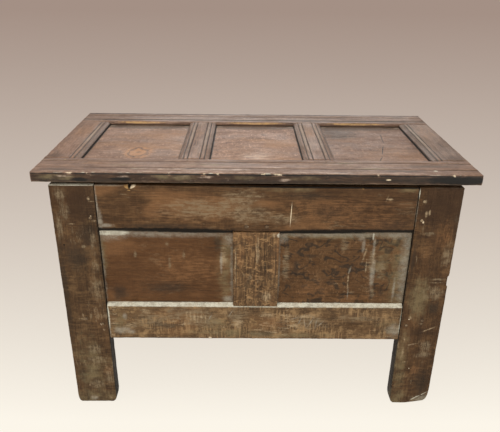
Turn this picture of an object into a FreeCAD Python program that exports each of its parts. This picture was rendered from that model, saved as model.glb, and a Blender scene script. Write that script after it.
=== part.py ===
"""Joined oak coffer chest with a three-panel lid hung on two wrought-iron strap hinges.

Row frame: millimetres, +Z up, the front faces -Y, +X to the right. The origin is on the floor,
under the middle of the lid. The four sides of the carcase are drawn as walls: x runs along the
wall, y runs inwards from its outer face and z is the height above the floor. The lid is drawn
with its origin under its middle, and each hinge with its origin on the middle of its pin.
"""
import FreeCAD, Part
import os
import Sketcher

doc = FreeCAD.newDocument("coffer_chest")
sheet = doc.addObject("Spreadsheet::Sheet", "Sizes")
sheet_rows = []
sub_parts = []


class Size:
    """A length as an expression on the cells of the sheet, with its value in millimetres."""

    def __init__(self, text, value):
        self.text = text
        self.value = value

    def __add__(self, other):
        other = as_size(other)
        return Size(f"({self.text} + {other.text})", self.value + other.value)

    def __sub__(self, other):
        other = as_size(other)
        return Size(f"({self.text} - {other.text})", self.value - other.value)

    def __mul__(self, factor):
        return Size(f"({self.text} * {factor})", self.value * factor)

    def __truediv__(self, factor):
        return Size(f"({self.text} / {factor})", self.value / factor)

    def __neg__(self):
        return Size(f"(-{self.text})", -self.value)


def as_size(value):
    return value if isinstance(value, Size) else Size(f"({value})", value)


def cell(alias, value, note):
    """Write one driving size in the sheet and return it."""
    sheet_rows.append(alias)
    row = len(sheet_rows)
    sheet.set(f"A{row}", note)
    sheet.set(f"B{row}", str(value))
    sheet.setAlias(f"B{row}", alias)
    return Size(f"Sizes.{alias}", value)


# ---------------------------------------------------------------- driving sizes

lid_length = cell("lid_length", 1000, "lid, left to right")
lid_depth = cell("lid_depth", 530, "lid, front to back")
lid_thickness = cell("lid_thickness", 25, "stock of the lid frame")
chest_height = cell("chest_height", 651, "floor to the top of the lid")
lid_gap = cell("lid_gap", 7, "top of the carcase to the underside of the lid")
side_overhang = cell("side_overhang", 35, "lid past the carcase at each end")
front_overhang = cell("front_overhang", 6, "lid past the front face")
rear_overhang = cell("rear_overhang", 16, "lid past the rear face, over the hinge knuckles")

frame_thickness = cell("frame_thickness", 38, "stock of the front and rear frames")
end_thickness = cell("end_thickness", 28, "stock of the end rails")
stile_width = cell("stile_width", 102, "corner stiles, seen from the front")
top_rail_width = cell("top_rail_width", 114.5, "height of the top rails")
bottom_rail_width = cell("bottom_rail_width", 103.5, "height of the bottom rails")
leg_height = cell("leg_height", 205.5, "floor to the bottom rails")
muntin_width = cell("muntin_width", 110, "muntins of the front and the rear")
bevel_drop = cell("bevel_drop", 7, "height of the bevel on the bottom rails")
bevel_depth = cell("bevel_depth", 8, "depth of the bevel on the bottom rails")
chamfer = cell("chamfer", 8.5, "stopped chamfers under the front top rail")
chamfer_run = cell("chamfer_run", 70, "run-out of a chamfer, where it dies away")
chamfer_end = cell("chamfer_end", 22, "middle of the rail to the end of a chamfer")
foot_wear_width = cell("foot_wear_width", 9, "worn corners of the feet, sideways")
foot_wear_height = cell("foot_wear_height", 22, "worn corners of the feet, upwards")
foot_bow = 0.29  # middle of a worn corner, as a share of its width and of its height

panel_recess = cell("panel_recess", 9, "face of a frame to the face of its panels")
panel_tongue = cell("panel_tongue", 7, "edge of a panel, where it sits in its groove")
panel_field = cell("panel_field", 5, "extra thickness behind the middle of a panel")
field_slope = cell("field_slope", 22, "width of the slope round the back of a panel")
field_margin = cell("field_margin", 2, "slope of a panel's back to the frame round it")
groove_depth = cell("groove_depth", 9, "depth of the panel grooves")
panel_insert = cell("panel_insert", 8, "panel inside its groove")
groove_fit = cell("groove_fit", 0.3, "play of a tongue across its groove")

tenon_setback = cell("tenon_setback", 10, "outer face to the tenons")
tenon_thickness = cell("tenon_thickness", 11, "thickness of the carcase tenons")
tenon_shoulder = cell("tenon_shoulder", 12, "shoulder above and below a tenon")
rail_tenon = cell("rail_tenon", 70, "length of the front and rear rail tenons")
end_tenon = cell("end_tenon", 25, "length of the end rail tenons")
muntin_tenon = cell("muntin_tenon", 40, "length of the muntin tenons")
joint_fit = cell("joint_fit", 0.2, "play round a tenon in its mortise")
tenon_gap = cell("tenon_gap", 1, "end of a tenon to the bottom of its mortise")

peg_radius = cell("peg_radius", 4, "radius of the oak pegs")
peg_fit = cell("peg_fit", 0.1, "radial play of a peg")
peg_setback = cell("peg_setback", 15, "shoulder to the pegs")
peg_stagger = cell("peg_stagger", 38, "second peg of a bottom rail past the first")
peg_spread = cell("peg_spread", 47, "height between the pegs of a top rail")
low_peg_spread = cell("low_peg_spread", 15, "height between the pegs of a bottom rail")
muntin_peg_spread = cell("muntin_peg_spread", 47, "sideways between the pegs of a muntin")
muntin_peg_setback = cell("muntin_peg_setback", 14.5, "rail edge to the pegs of a muntin")
end_peg_setback = cell("end_peg_setback", 12, "shoulder to the pegs of an end rail")
peg_back = cell("peg_back", 3, "end of a peg to the inner face of the frame")

floor_boards = 5  # how many boards lie side by side
board_thickness = cell("board_thickness", 14, "floor boards")
board_tongue = cell("board_tongue", 8, "thickness of a floor board's tongue")
board_insert = cell("board_insert", 7, "floor board inside its groove")
floor_groove = cell("floor_groove", 8, "depth of the floor grooves")
floor_lift = cell("floor_lift", 15, "lower edge of a bottom rail to its floor groove")
board_gap = cell("board_gap", 0.8, "gap between floor boards")
board_fit = cell("board_fit", 0.3, "play of a floor board in the carcase")

lid_rail_width = cell("lid_rail_width", 100, "front and back rails of the lid")
lid_stile_width = cell("lid_stile_width", 85, "end stiles of the lid")
lid_muntin_width = cell("lid_muntin_width", 76, "muntins of the lid")
lid_muntin_offset = cell("lid_muntin_offset", 148.5, "middle of the lid to the middle of a muntin")
lid_recess = cell("lid_recess", 9, "top of the lid to its panels")
lid_chamfer = cell("lid_chamfer", 6, "stopped chamfers along the lid rails")
lid_chamfer_run = cell("lid_chamfer_run", 34, "run-out at each end of a lid chamfer")
lid_chamfer_margin = cell("lid_chamfer_margin", 4, "corner of a panel to its chamfer")
lid_tenon = cell("lid_tenon", 68, "length of the lid's tenons")
lid_tenon_setback = cell("lid_tenon_setback", 8, "underside of the lid to its tenons")
lid_tenon_thickness = cell("lid_tenon_thickness", 9, "thickness of the lid's tenons")
scratch_width = cell("scratch_width", 3.4, "width of a scratched line")
scratch_depth = cell("scratch_depth", 1.8, "depth of a scratched line")
rail_outer_scratch = cell("rail_outer_scratch", 34, "lid edge to a rail's outer line")
rail_inner_scratch = cell("rail_inner_scratch", 77, "lid edge to a rail's inner line")
near_scratch = cell("near_scratch", 13, "panel edge to the inner line of a moulding")
far_scratch = cell("far_scratch", 23.5, "panel edge to the outer line of a moulding")
ovolo_width = cell("ovolo_width", 11, "sloping edge of a moulding, sideways")
ovolo_drop = cell("ovolo_drop", 4, "sloping edge of a moulding, downwards")
nosing = cell("nosing", 2, "worn top edge round the lid")
lid_peg_setback = cell("lid_peg_setback", 14, "shoulder to the pegs of the lid")
lid_peg_spread = cell("lid_peg_spread", 26, "between the two pegs of a lid joint")

left_hinge_inset = cell("left_hinge_inset", 216, "left end of the lid to the left hinge")
right_hinge_inset = cell("right_hinge_inset", 261, "right end of the lid to the right hinge")
knuckle_radius = cell("knuckle_radius", 6.5, "outside of the hinge knuckles")
knuckle_gap = cell("knuckle_gap", 0.5, "knuckles to the rear face and to the lid")
knuckle_length = cell("knuckle_length", 13.5, "one knuckle of a leaf")
eye_length = cell("eye_length", 13, "eye of a strap, between the knuckles")
eye_gap = cell("eye_gap", 0.5, "eye to the knuckle on each side of it")
pin_radius = cell("pin_radius", 3, "hinge pins")
pin_fit = cell("pin_fit", 0.08, "radial play of a hinge pin")
pin_head_radius = cell("pin_head_radius", 4.6, "hammered ends of a pin")
pin_head_length = cell("pin_head_length", 2.5, "length of a pin's hammered end")
pin_head_gap = cell("pin_head_gap", 0.3, "knuckle to a pin's hammered end")
strap_rest = cell("strap_rest", 0.5, "underside of a strap to the rails it lies over")
strap_root = cell("strap_root", 32, "width of a strap at its shoulder")
strap_end = cell("strap_end", 22, "width of a strap where its tip begins")
strap_tip = cell("strap_tip", 26, "length of a strap's pointed tip")
strap_setback = cell("strap_setback", 14, "front edge of the lid to a strap's tip")
neck_length = cell("neck_length", 13, "pin to the shoulder of a strap")
shoulder_length = cell("shoulder_length", 9, "slope of a strap's shoulder")
leaf_thickness = cell("leaf_thickness", 4, "plate of a leaf")
leaf_length = cell("leaf_length", 76, "pin to the point of a leaf")
leaf_straight = cell("leaf_straight", 42, "pin to the start of a leaf's point")
leaf_clearance = cell("leaf_clearance", 1, "swinging eye to the plate below it")
wear_width = cell("wear_width", 26, "notch worn under the left strap, sideways")
wear_depth = cell("wear_depth", 9, "notch worn under the left strap, downwards")
small_wear_width = cell("small_wear_width", 11, "notch worn under the right strap, sideways")
small_wear_depth = cell("small_wear_depth", 5, "notch worn under the right strap, downwards")

nail_radius = cell("nail_radius", 2, "shank of a nail")
nail_fit = cell("nail_fit", 0.1, "radial play of a nail")
nail_length = cell("nail_length", 18, "nail inside the wood")
nail_head_radius = cell("nail_head_radius", 6, "rose head of a nail")
nail_crown_radius = cell("nail_crown_radius", 2.4, "flat crown of a nail's head")
nail_head_height = cell("nail_head_height", 2.4, "rose head of a nail, height")
nail_inset = cell("nail_inset", 15, "inner edge of a lid rail to the first strap nail")
nail_spread = cell("nail_spread", 23, "between the two strap nails of a rail")
leaf_nail_drop = cell("leaf_nail_drop", 22, "pin to the upper nails of a leaf")
leaf_nail_low = cell("leaf_nail_low", 52, "pin to the lower nail of a leaf")
leaf_nail_side = cell("leaf_nail_side", 12, "middle of a leaf to its upper nails")

# ---------------------------------------------------------------- derived places

zero = Size("0", 0.0)
lid_underside = chest_height - lid_thickness
frame_top = lid_underside - lid_gap
front_face = -lid_depth / 2 + front_overhang
rear_face = lid_depth / 2 - rear_overhang
half_body = lid_length / 2 - side_overhang
half_end = (rear_face - front_face) / 2 - frame_thickness
half_front = half_body - stile_width
wall_middle = (front_face + rear_face) / 2

top_band = (frame_top - top_rail_width, frame_top)
low_band = (leg_height, leg_height + bottom_rail_width)
opening = (low_band[1], top_band[0])
panel_slot = (panel_recess, panel_recess + panel_tongue + groove_fit)
tenon_slab = (tenon_setback, tenon_setback + tenon_thickness)
floor_slot = (leg_height + floor_lift, leg_height + floor_lift + board_tongue + groove_fit)

pin_height = lid_underside - knuckle_radius - knuckle_gap
pin_depth = rear_face + knuckle_radius + knuckle_gap
strap_thickness = lid_gap - strap_rest
hinge_places = {
    "left": left_hinge_inset - lid_length / 2,
    "right": lid_length / 2 - right_hinge_inset,
}
strap_nail_rows = (
    lid_depth / 2 - lid_rail_width + nail_inset,
    lid_depth / 2 - lid_rail_width + nail_inset + nail_spread,
)

# ---------------------------------------------------------------- ways of shaping a piece


def grown(span, amount):
    """A span made longer by amount at both ends."""
    return (span[0] - amount, span[1] + amount)


def handed(hand, span):
    """A span along x, or its mirror image; hand is 1 for the left piece and -1 for the right."""
    return span if hand > 0 else (-span[1], -span[0])


def set_base(item, corner):
    for axis, value in zip("xyz", corner):
        item.setExpression(f"Placement.Base.{axis}", value.text)


def put(item, label, place, turn=0):
    """Give a sub-part its name, its place in the row frame and its turn about Z."""
    sub_parts.append(item)
    item.Label = label
    turned = FreeCAD.Rotation(FreeCAD.Vector(0, 0, 1), turn)
    item.Placement = FreeCAD.Placement(FreeCAD.Vector(), turned)
    set_base(item, place)
    return item


def new_piece(label, place, turn=0):
    return put(doc.addObject("PartDesign::Body", label), label, place, turn)


def block(body, kind, name, x, y, z):
    """An additive or subtractive block between two coordinates on each axis."""
    item = body.newObject(f"PartDesign::{kind}Box", name)
    for side, span in zip(("Length", "Width", "Height"), (x, y, z)):
        item.setExpression(side, (span[1] - span[0]).text)
    set_base(item, (x[0], y[0], z[0]))


AXIS_TURN = {
    "x": FreeCAD.Rotation(FreeCAD.Vector(0, 1, 0), 90),
    "y": FreeCAD.Rotation(FreeCAD.Vector(1, 0, 0), -90),
    "z": FreeCAD.Rotation(),
}


def rod(owner, kind, name, centre, axis, span, radius):
    """A round bar or hole along an axis; centre gives the other two coordinates, in order."""
    item = owner.newObject(kind, name) if owner else doc.addObject(kind, name)
    item.Placement = FreeCAD.Placement(FreeCAD.Vector(), AXIS_TURN[axis])
    item.setExpression("Radius", radius.text)
    item.setExpression("Height", (span[1] - span[0]).text)
    corner = list(centre)
    corner.insert("xyz".index(axis), span[0])
    set_base(item, corner)
    return item


def hole(body, centre, axis, span, radius):
    rod(body, "PartDesign::SubtractiveCylinder", "Hole", centre, axis, span, radius)


def outline(body, name, plane, points, lift=zero):
    """A closed sketch through points, each tied to the sheet; lift raises it off its plane."""
    sketch = body.newObject("Sketcher::SketchObject", name)
    base = next(item for item in body.Origin.OriginFeatures if item.Role == plane)
    sketch.AttachmentSupport = [(base, "")]
    sketch.MapMode = "FlatFace"
    sketch.setExpression("AttachmentOffset.Base.z", lift.text)
    corners = [FreeCAD.Vector(x.value, y.value, 0) for x, y in points]
    count = len(corners)
    for index in range(count):
        sketch.addGeometry(Part.LineSegment(corners[index], corners[(index + 1) % count]), False)
    for index in range(count):
        sketch.addConstraint(Sketcher.Constraint("Coincident", index, 2, (index + 1) % count, 1))
    for index, point in enumerate(points):
        for kind, size in zip(("DistanceX", "DistanceY"), point):
            number = sketch.addConstraint(Sketcher.Constraint(kind, -1, 1, index, 1, size.value))
            sketch.setExpression(f"Constraints[{number}]", size.text)
    return sketch


def pad(body, sketch, length, side="Symmetric", backwards=False):
    item = body.newObject("PartDesign::Pad", "Pad")
    item.Profile = sketch
    item.SideType = side
    item.Reversed = backwards
    item.setExpression("Length", length.text)


def slanted_cut(body, sketch, direction, depth):
    """Cut a sketch away along a slanting direction, far enough to leave the piece again."""
    item = body.newObject("PartDesign::Pocket", "SlantedCut")
    item.Profile = sketch
    item.UseCustomVector = True
    item.Direction = FreeCAD.Vector(*direction)
    item.setExpression("Length", (depth * 2).text)


def sloped_field(body, x, depth, z, turn=None):
    """The raised field behind a panel: its long faces slope in from the edges of x and z."""
    item = body.newObject("PartDesign::AdditiveWedge", "Field")
    if turn:
        item.Placement = FreeCAD.Placement(FreeCAD.Vector(), turn)
    sizes = {
        "Xmin": x[0], "Xmax": x[1], "X2min": x[0] + field_slope, "X2max": x[1] - field_slope,
        "Ymin": depth[0], "Ymax": depth[1],
        "Zmin": z[0], "Zmax": z[1], "Z2min": z[0] + field_slope, "Z2max": z[1] - field_slope,
    }
    for name, value in sizes.items():
        item.setExpression(name, value.text)


def group(label, items, place, turn=0):
    """Like pieces that share one node as separate solids."""
    compound = doc.addObject("Part::Compound", label)
    compound.Links = items
    return put(compound, label, place, turn)


# ---------------------------------------------------------------- the walls of the carcase

top_middle = (top_band[0] + top_band[1]) / 2
low_middle = (low_band[0] + low_band[1]) / 2
muntin_peg_height = opening[1] + muntin_peg_setback
muntin_peg_places = (-muntin_peg_spread / 2, muntin_peg_spread / 2)

# each peg of a rail joint as (distance past the shoulder, height)
long_top_pegs = (
    (peg_setback, top_middle + peg_spread / 2),
    (peg_setback, top_middle - peg_spread / 2),
)
long_low_pegs = (
    (peg_setback + peg_stagger, low_middle + low_peg_spread / 2),
    (peg_setback, low_middle - low_peg_spread / 2),
)
short_top_pegs = (
    (end_peg_setback, top_middle + peg_spread / 2),
    (end_peg_setback, top_middle - peg_spread / 2),
)
short_low_pegs = (
    (end_peg_setback, low_middle + peg_spread / 2),
    (end_peg_setback, low_middle - peg_spread / 2),
)


class Wall:
    """One side of the carcase: where it stands, how it is turned and what it is made of."""

    def __init__(self, name, place, turn, half_length, thickness, tenon, top_pegs, low_pegs):
        self.name = name
        self.place = place
        self.turn = turn
        self.half_length = half_length
        self.thickness = thickness
        self.tenon = tenon
        self.top_pegs = top_pegs
        self.low_pegs = low_pegs
        self.peg_span = (zero, thickness - peg_back)

    def piece(self, name):
        return new_piece(f"{self.name}_{name}", self.place, self.turn)


def tenons(body, wall, band, pegs):
    """The tenon at each end of a rail, drilled for its pegs."""
    for hand in (1, -1):
        x = handed(hand, (-wall.half_length - wall.tenon, -wall.half_length))
        block(body, "Additive", "Tenon", x, tenon_slab, grown(band, -tenon_shoulder))
    for past, height in pegs:
        for hand in (1, -1):
            centre = ((wall.half_length + past) * hand, height)
            hole(body, centre, "y", wall.peg_span, peg_radius + peg_fit)


def top_rail(wall):
    body = wall.piece("top_rail")
    length = (-wall.half_length, wall.half_length)
    block(body, "Additive", "Rail", length, (zero, wall.thickness), top_band)
    groove = (top_band[0], top_band[0] + groove_depth)
    block(body, "Subtractive", "PanelGroove", length, panel_slot, groove)
    tenons(body, wall, top_band, wall.top_pegs)
    return body


def bottom_rail(wall, carries_floor):
    """Rail with a bevelled upper edge, a panel groove and, inside, the groove of the floor."""
    body = wall.piece("bottom_rail")
    inner, bottom, top = wall.thickness, low_band[0], low_band[1]
    floor_steps = [
        (inner, floor_slot[0]),
        (inner - floor_groove, floor_slot[0]),
        (inner - floor_groove, floor_slot[1]),
        (inner, floor_slot[1]),
    ]
    points = [(zero, bottom), (inner, bottom)]
    points += floor_steps if carries_floor else []
    points += [
        (inner, top),
        (panel_slot[1], top),
        (panel_slot[1], top - groove_depth),
        (panel_slot[0], top - groove_depth),
        (panel_slot[0], top),
        (bevel_depth, top),
        (zero, top - bevel_drop),
    ]
    pad(body, outline(body, "RailProfile", "YZ_Plane", points), wall.half_length * 2)
    tenons(body, wall, low_band, wall.low_pegs)
    return body


def panel(wall, name, x):
    """A board whose edges sit in the grooves of its frame and whose back is sloped."""
    body = wall.piece(name)
    back = (panel_recess + panel_tongue, panel_recess + panel_tongue + panel_field)
    board_z = grown(opening, panel_insert)
    block(body, "Additive", "Board", grown(x, panel_insert), (panel_recess, back[0]), board_z)
    sloped_field(body, grown(x, -field_margin), back, grown(opening, -field_margin))


def stile(wall, name, hand):
    """A corner post: mortised for the rails of two walls, with a worn foot."""
    body = wall.piece(name)
    edge = -half_body
    inner = edge + stile_width
    worn_out = foot_wear_width * foot_bow
    worn_up = foot_wear_height * foot_bow
    points = [
        (edge + foot_wear_width, zero),
        (inner - foot_wear_width, zero),
        (inner - worn_out, worn_up),
        (inner, foot_wear_height),
        (inner, frame_top),
        (edge, frame_top),
        (edge, foot_wear_height),
        (edge + worn_out, worn_up),
    ]
    if hand < 0:
        points = [(-x, z) for x, z in reversed(points)]
    sketch = outline(body, "StileFront", "XZ_Plane", points)
    pad(body, sketch, wall.thickness, side="One side", backwards=True)

    slab = grown(tenon_slab, joint_fit)
    groove_z = grown(opening, groove_depth)
    mortise_x = handed(hand, (inner - rail_tenon - tenon_gap, inner))
    groove_x = handed(hand, (inner - groove_depth, inner))
    end_x = handed(hand, (edge + slab[0], edge + slab[1]))
    end_y = (wall.thickness - end_tenon - tenon_gap, wall.thickness)
    end_groove_x = handed(hand, (edge + panel_slot[0], edge + panel_slot[1]))
    end_groove_y = (wall.thickness - groove_depth, wall.thickness)
    for band in (top_band, low_band):
        mortise_z = grown(band, joint_fit - tenon_shoulder)
        block(body, "Subtractive", "RailMortise", mortise_x, slab, mortise_z)
        block(body, "Subtractive", "EndMortise", end_x, end_y, mortise_z)
    block(body, "Subtractive", "PanelGroove", groove_x, panel_slot, groove_z)
    block(body, "Subtractive", "EndGroove", end_groove_x, end_groove_y, groove_z)
    for past, height in long_top_pegs + long_low_pegs:
        centre = ((inner - past) * hand, height)
        hole(body, centre, "y", wall.peg_span, peg_radius + peg_fit)
    for past, height in short_top_pegs + short_low_pegs:
        span = handed(hand, (edge, edge + end_thickness - peg_back))
        hole(body, (wall.thickness - past, height), "x", span, peg_radius + peg_fit)


def muntin(wall):
    """The upright between two panels; its foot is scribed over the bevel of the bottom rail."""
    body = wall.piece("muntin")
    points = [
        (zero, opening[0] - bevel_drop),
        (bevel_depth, opening[0]),
        (wall.thickness, opening[0]),
        (wall.thickness, opening[1]),
        (zero, opening[1]),
    ]
    pad(body, outline(body, "MuntinSide", "YZ_Plane", points), muntin_width)
    half = muntin_width / 2
    tenon_x = grown((-half, half), -tenon_shoulder)
    foot = (opening[0] - muntin_tenon, opening[0])
    head = (opening[1], opening[1] + muntin_tenon)
    block(body, "Additive", "FootTenon", tenon_x, tenon_slab, foot)
    block(body, "Additive", "HeadTenon", tenon_x, tenon_slab, head)
    for hand in (1, -1):
        groove_x = handed(hand, (-half, groove_depth - half))
        block(body, "Subtractive", "PanelGroove", groove_x, panel_slot, opening)
    muntin_peg_holes(body, wall)


def muntin_peg_holes(body, wall):
    for x in muntin_peg_places:
        hole(body, (x, muntin_peg_height), "y", wall.peg_span, peg_radius + peg_fit)


def muntin_mortise(body, z):
    half = muntin_width / 2
    x = grown((-half, half), joint_fit - tenon_shoulder)
    block(body, "Subtractive", "MuntinMortise", x, grown(tenon_slab, joint_fit), z)


def wall_pegs(wall, name, muntin_pegs=()):
    """All pegs of a wall, from its outer face to just short of its inner one."""
    centres = [(x, muntin_peg_height) for x in muntin_pegs]
    for past, height in wall.top_pegs + wall.low_pegs:
        for hand in (1, -1):
            centres.append(((wall.half_length + past) * hand, height))
    pegs = []
    for centre in centres:
        pegs.append(rod(None, "Part::Cylinder", "Peg", centre, "y", wall.peg_span, peg_radius))
    group(name, pegs, wall.place, wall.turn)


def long_wall(wall, left, right):
    """The front or the rear; left and right are the ends of the row that lie at -x and +x."""
    stile(wall, f"{left}_stile", 1)
    stile(wall, f"{right}_stile", -1)
    upper = top_rail(wall)
    muntin_mortise(upper, (top_band[0], top_band[0] + muntin_tenon + tenon_gap))
    muntin_peg_holes(upper, wall)
    lower = bottom_rail(wall, True)
    muntin_mortise(lower, (low_band[1] - muntin_tenon - tenon_gap, low_band[1]))
    muntin(wall)
    panel(wall, f"{left}_panel", (-half_front, -muntin_width / 2))
    panel(wall, f"{right}_panel", (muntin_width / 2, half_front))
    wall_pegs(wall, f"{wall.name}_frame_pegs", muntin_peg_places)
    return upper


def short_wall(wall):
    """An end: two rails and one panel between the stiles of the front and the rear."""
    top_rail(wall)
    bottom_rail(wall, False)
    panel(wall, "panel", (-half_end, half_end))
    wall_pegs(wall, f"{wall.name}_pegs")


def long_side(name, face, turn):
    return Wall(name, (zero, face, zero), turn, half_front, frame_thickness, rail_tenon,
                long_top_pegs, long_low_pegs)


def short_side(name, face, turn):
    return Wall(name, (face, wall_middle, zero), turn, half_end, end_thickness, end_tenon,
                short_top_pegs, short_low_pegs)


def front_chamfers(rail):
    """Stopped chamfers from each stile towards the muntin, under the front top rail."""
    edge = top_band[0]
    for hand in (1, -1):
        points = [
            (-half_front, edge),
            (-half_front, edge + chamfer),
            (-chamfer_end - chamfer_run, edge + chamfer),
            (-chamfer_end, edge),
        ]
        points = [(x * hand, z) for x, z in points]
        slanted_cut(rail, outline(rail, "Chamfer", "XZ_Plane", points), (0, 1, -1), chamfer)


def wear_notches(rail):
    """Notches that the ends of the straps have worn in the top edge of the front rail."""
    notches = (
        (hinge_places["left"], wear_width, wear_depth),
        (hinge_places["right"], small_wear_width, small_wear_depth),
    )
    for x, width, depth in notches:
        points = [
            (x - width / 2, frame_top),
            (x, frame_top - depth),
            (x + width / 2, frame_top),
        ]
        slanted_cut(rail, outline(rail, "Notch", "XZ_Plane", points), (0, 1, 1), depth)


front_rail = long_wall(long_side("front", front_face, 0), "left", "right")
front_chamfers(front_rail)
wear_notches(front_rail)
rear_rail = long_wall(long_side("rear", rear_face, 180), "right", "left")
short_wall(short_side("left_end", -half_body, -90))
short_wall(short_side("right_end", half_body, 90))

# ---------------------------------------------------------------- the floor

half_floor = half_body - end_thickness
board_pitch = half_floor * 2 / floor_boards
board_low = floor_slot[0] - (board_thickness - board_tongue) / 2
board_y = grown((front_face + frame_thickness, rear_face - frame_thickness), -board_fit)

for number in range(floor_boards):
    left_edge = -half_floor + board_pitch * number
    board = new_piece(f"floor_board_{number + 1}", (left_edge + board_gap / 2, zero, zero))
    width = board_pitch - board_gap
    clear = half_floor - half_front + board_fit
    tongue_x = [zero, width]
    if number == 0:
        tongue_x[0] = clear
    if number == floor_boards - 1:
        tongue_x[1] = width - clear
    block(board, "Additive", "Board", (zero, width), board_y,
          (board_low, board_low + board_thickness))
    block(board, "Additive", "Tongues", tongue_x, grown(board_y, board_insert + board_fit),
          (floor_slot[0], floor_slot[0] + board_tongue))

# ---------------------------------------------------------------- the lid

lid_place = (zero, zero, lid_underside)
lid_top = lid_thickness
half_lid = lid_length / 2
lid_shoulder = lid_depth / 2 - lid_rail_width
lid_slot = (lid_top - lid_recess - panel_tongue - groove_fit, lid_top - lid_recess)
lid_slab = (lid_tenon_setback, lid_tenon_setback + lid_tenon_thickness)
stile_x = (-half_lid, lid_stile_width - half_lid)
muntin_x = (-lid_muntin_offset - lid_muntin_width / 2, -lid_muntin_offset + lid_muntin_width / 2)
lid_members = (stile_x, muntin_x, handed(-1, muntin_x), handed(-1, stile_x))
lid_openings = (
    (stile_x[1], muntin_x[0]),
    (muntin_x[1], -muntin_x[1]),
    (-muntin_x[0], -stile_x[1]),
)


def scratch(middle):
    """The three corners of a scratched line, for an outline that runs towards -x."""
    half = scratch_width / 2
    bottom = lid_top - scratch_depth
    return [(middle + half, lid_top), (middle, bottom), (middle - half, lid_top)]


def peg_places(x):
    middle = (x[0] + x[1]) / 2
    return (middle - lid_peg_spread / 2, middle + lid_peg_spread / 2)


def lid_peg_holes(body, x, sides):
    for side in sides:
        for peg_x in peg_places(x):
            centre = (peg_x, (lid_shoulder + lid_peg_setback) * side)
            hole(body, centre, "z", (peg_back, lid_top), peg_radius + peg_fit)


def lid_rail(label, turn):
    """A full-length rail with two scratched lines, and a stopped chamfer beside each panel."""
    body = new_piece(label, lid_place, turn)
    outer, inner = -lid_depth / 2, -lid_shoulder
    points = [(outer, zero), (inner, zero), (inner, lid_top)]
    points += scratch(outer + rail_inner_scratch) + scratch(outer + rail_outer_scratch)
    points += [(outer + nosing, lid_top), (outer, lid_top - nosing)]
    pad(body, outline(body, "RailProfile", "YZ_Plane", points), lid_length)
    groove_x = grown((stile_x[1], -stile_x[1]), groove_depth)
    block(body, "Subtractive", "PanelGroove", groove_x, (inner - groove_depth, inner), lid_slot)
    for x in lid_members:
        block(body, "Subtractive", "Mortise", grown(x, joint_fit - tenon_shoulder),
              (inner - lid_tenon - tenon_gap, inner), grown(lid_slab, joint_fit))
        lid_peg_holes(body, x, (-1,))
    for x in lid_openings:
        start, end = grown(x, -lid_chamfer_margin)
        points = [
            (start, inner),
            (start + lid_chamfer_run, inner - lid_chamfer),
            (end - lid_chamfer_run, inner - lid_chamfer),
            (end, inner),
        ]
        sketch = outline(body, "Chamfer", "XY_Plane", points, lid_top)
        slanted_cut(body, sketch, (0, 1, -1), lid_chamfer)
    side = 1 if turn == 0 else -1
    for hinge_x in hinge_places.values():
        for row in strap_nail_rows:
            hole(body, (hinge_x * side, -row), "z", (zero, nail_length + nail_fit),
                 nail_radius + nail_fit)


def lid_upright(label, x, points):
    """A stile or muntin of the lid: a moulded section between the rails, with two tenons."""
    body = new_piece(label, lid_place)
    pad(body, outline(body, "Section", "XZ_Plane", points), lid_shoulder * 2)
    tenon_x = grown(x, -tenon_shoulder)
    block(body, "Additive", "FrontTenon", tenon_x, (-lid_shoulder - lid_tenon, -lid_shoulder),
          lid_slab)
    block(body, "Additive", "BackTenon", tenon_x, (lid_shoulder, lid_shoulder + lid_tenon),
          lid_slab)
    lid_peg_holes(body, x, (-1, 1))


def mirror(points):
    return [(-x, z) for x, z in reversed(points)]


def moulded_edge(inner):
    """A right edge, as corners going up: the panel groove, a sloping edge and two lines."""
    corners = [
        (inner, lid_slot[0]),
        (inner - groove_depth, lid_slot[0]),
        (inner - groove_depth, lid_slot[1]),
        (inner, lid_slot[1]),
        (inner, lid_top - ovolo_drop),
        (inner - ovolo_width, lid_top),
    ]
    return corners + scratch(inner - near_scratch) + scratch(inner - far_scratch)


def lid_stile_section():
    """The left stile: a moulded inner edge and a worn outer edge."""
    outer, inner = stile_x
    points = [(outer, zero), (inner, zero)] + moulded_edge(inner)
    return points + [(outer + nosing, lid_top), (outer, lid_top - nosing)]


def lid_muntin_section():
    """The left muntin, moulded along both edges."""
    outer, inner = muntin_x
    points = [(outer, zero), (inner, zero)] + moulded_edge(inner)
    return points + mirror(moulded_edge(-outer))


def lid_panel(label, x):
    body = new_piece(label, lid_place)
    board = (lid_top - lid_recess - panel_tongue, lid_top - lid_recess)
    y = (-lid_shoulder, lid_shoulder)
    block(body, "Additive", "Board", grown(x, panel_insert), grown(y, panel_insert), board)
    face_down = FreeCAD.Rotation(FreeCAD.Vector(1, 0, 0), -90)
    depth = (-board[0], panel_field - board[0])
    sloped_field(body, grown(x, -field_margin), depth, grown(y, -field_margin), face_down)


lid_rail("lid_front_rail", 0)
lid_rail("lid_back_rail", 180)
lid_upright("lid_left_stile", stile_x, lid_stile_section())
lid_upright("lid_right_stile", handed(-1, stile_x), mirror(lid_stile_section()))
lid_upright("lid_left_muntin", muntin_x, lid_muntin_section())
lid_upright("lid_right_muntin", handed(-1, muntin_x), mirror(lid_muntin_section()))
for side, x in zip(("left", "centre", "right"), lid_openings):
    lid_panel(f"lid_{side}_panel", x)
lid_pegs = []
for x in lid_members:
    for side in (-1, 1):
        for peg_x in peg_places(x):
            centre = (peg_x, (lid_shoulder + lid_peg_setback) * side)
            span = (peg_back, lid_top)
            lid_pegs.append(rod(None, "Part::Cylinder", "LidPeg", centre, "z", span, peg_radius))
group("lid_pegs", lid_pegs, lid_place)

# ---------------------------------------------------------------- the hinges

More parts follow.
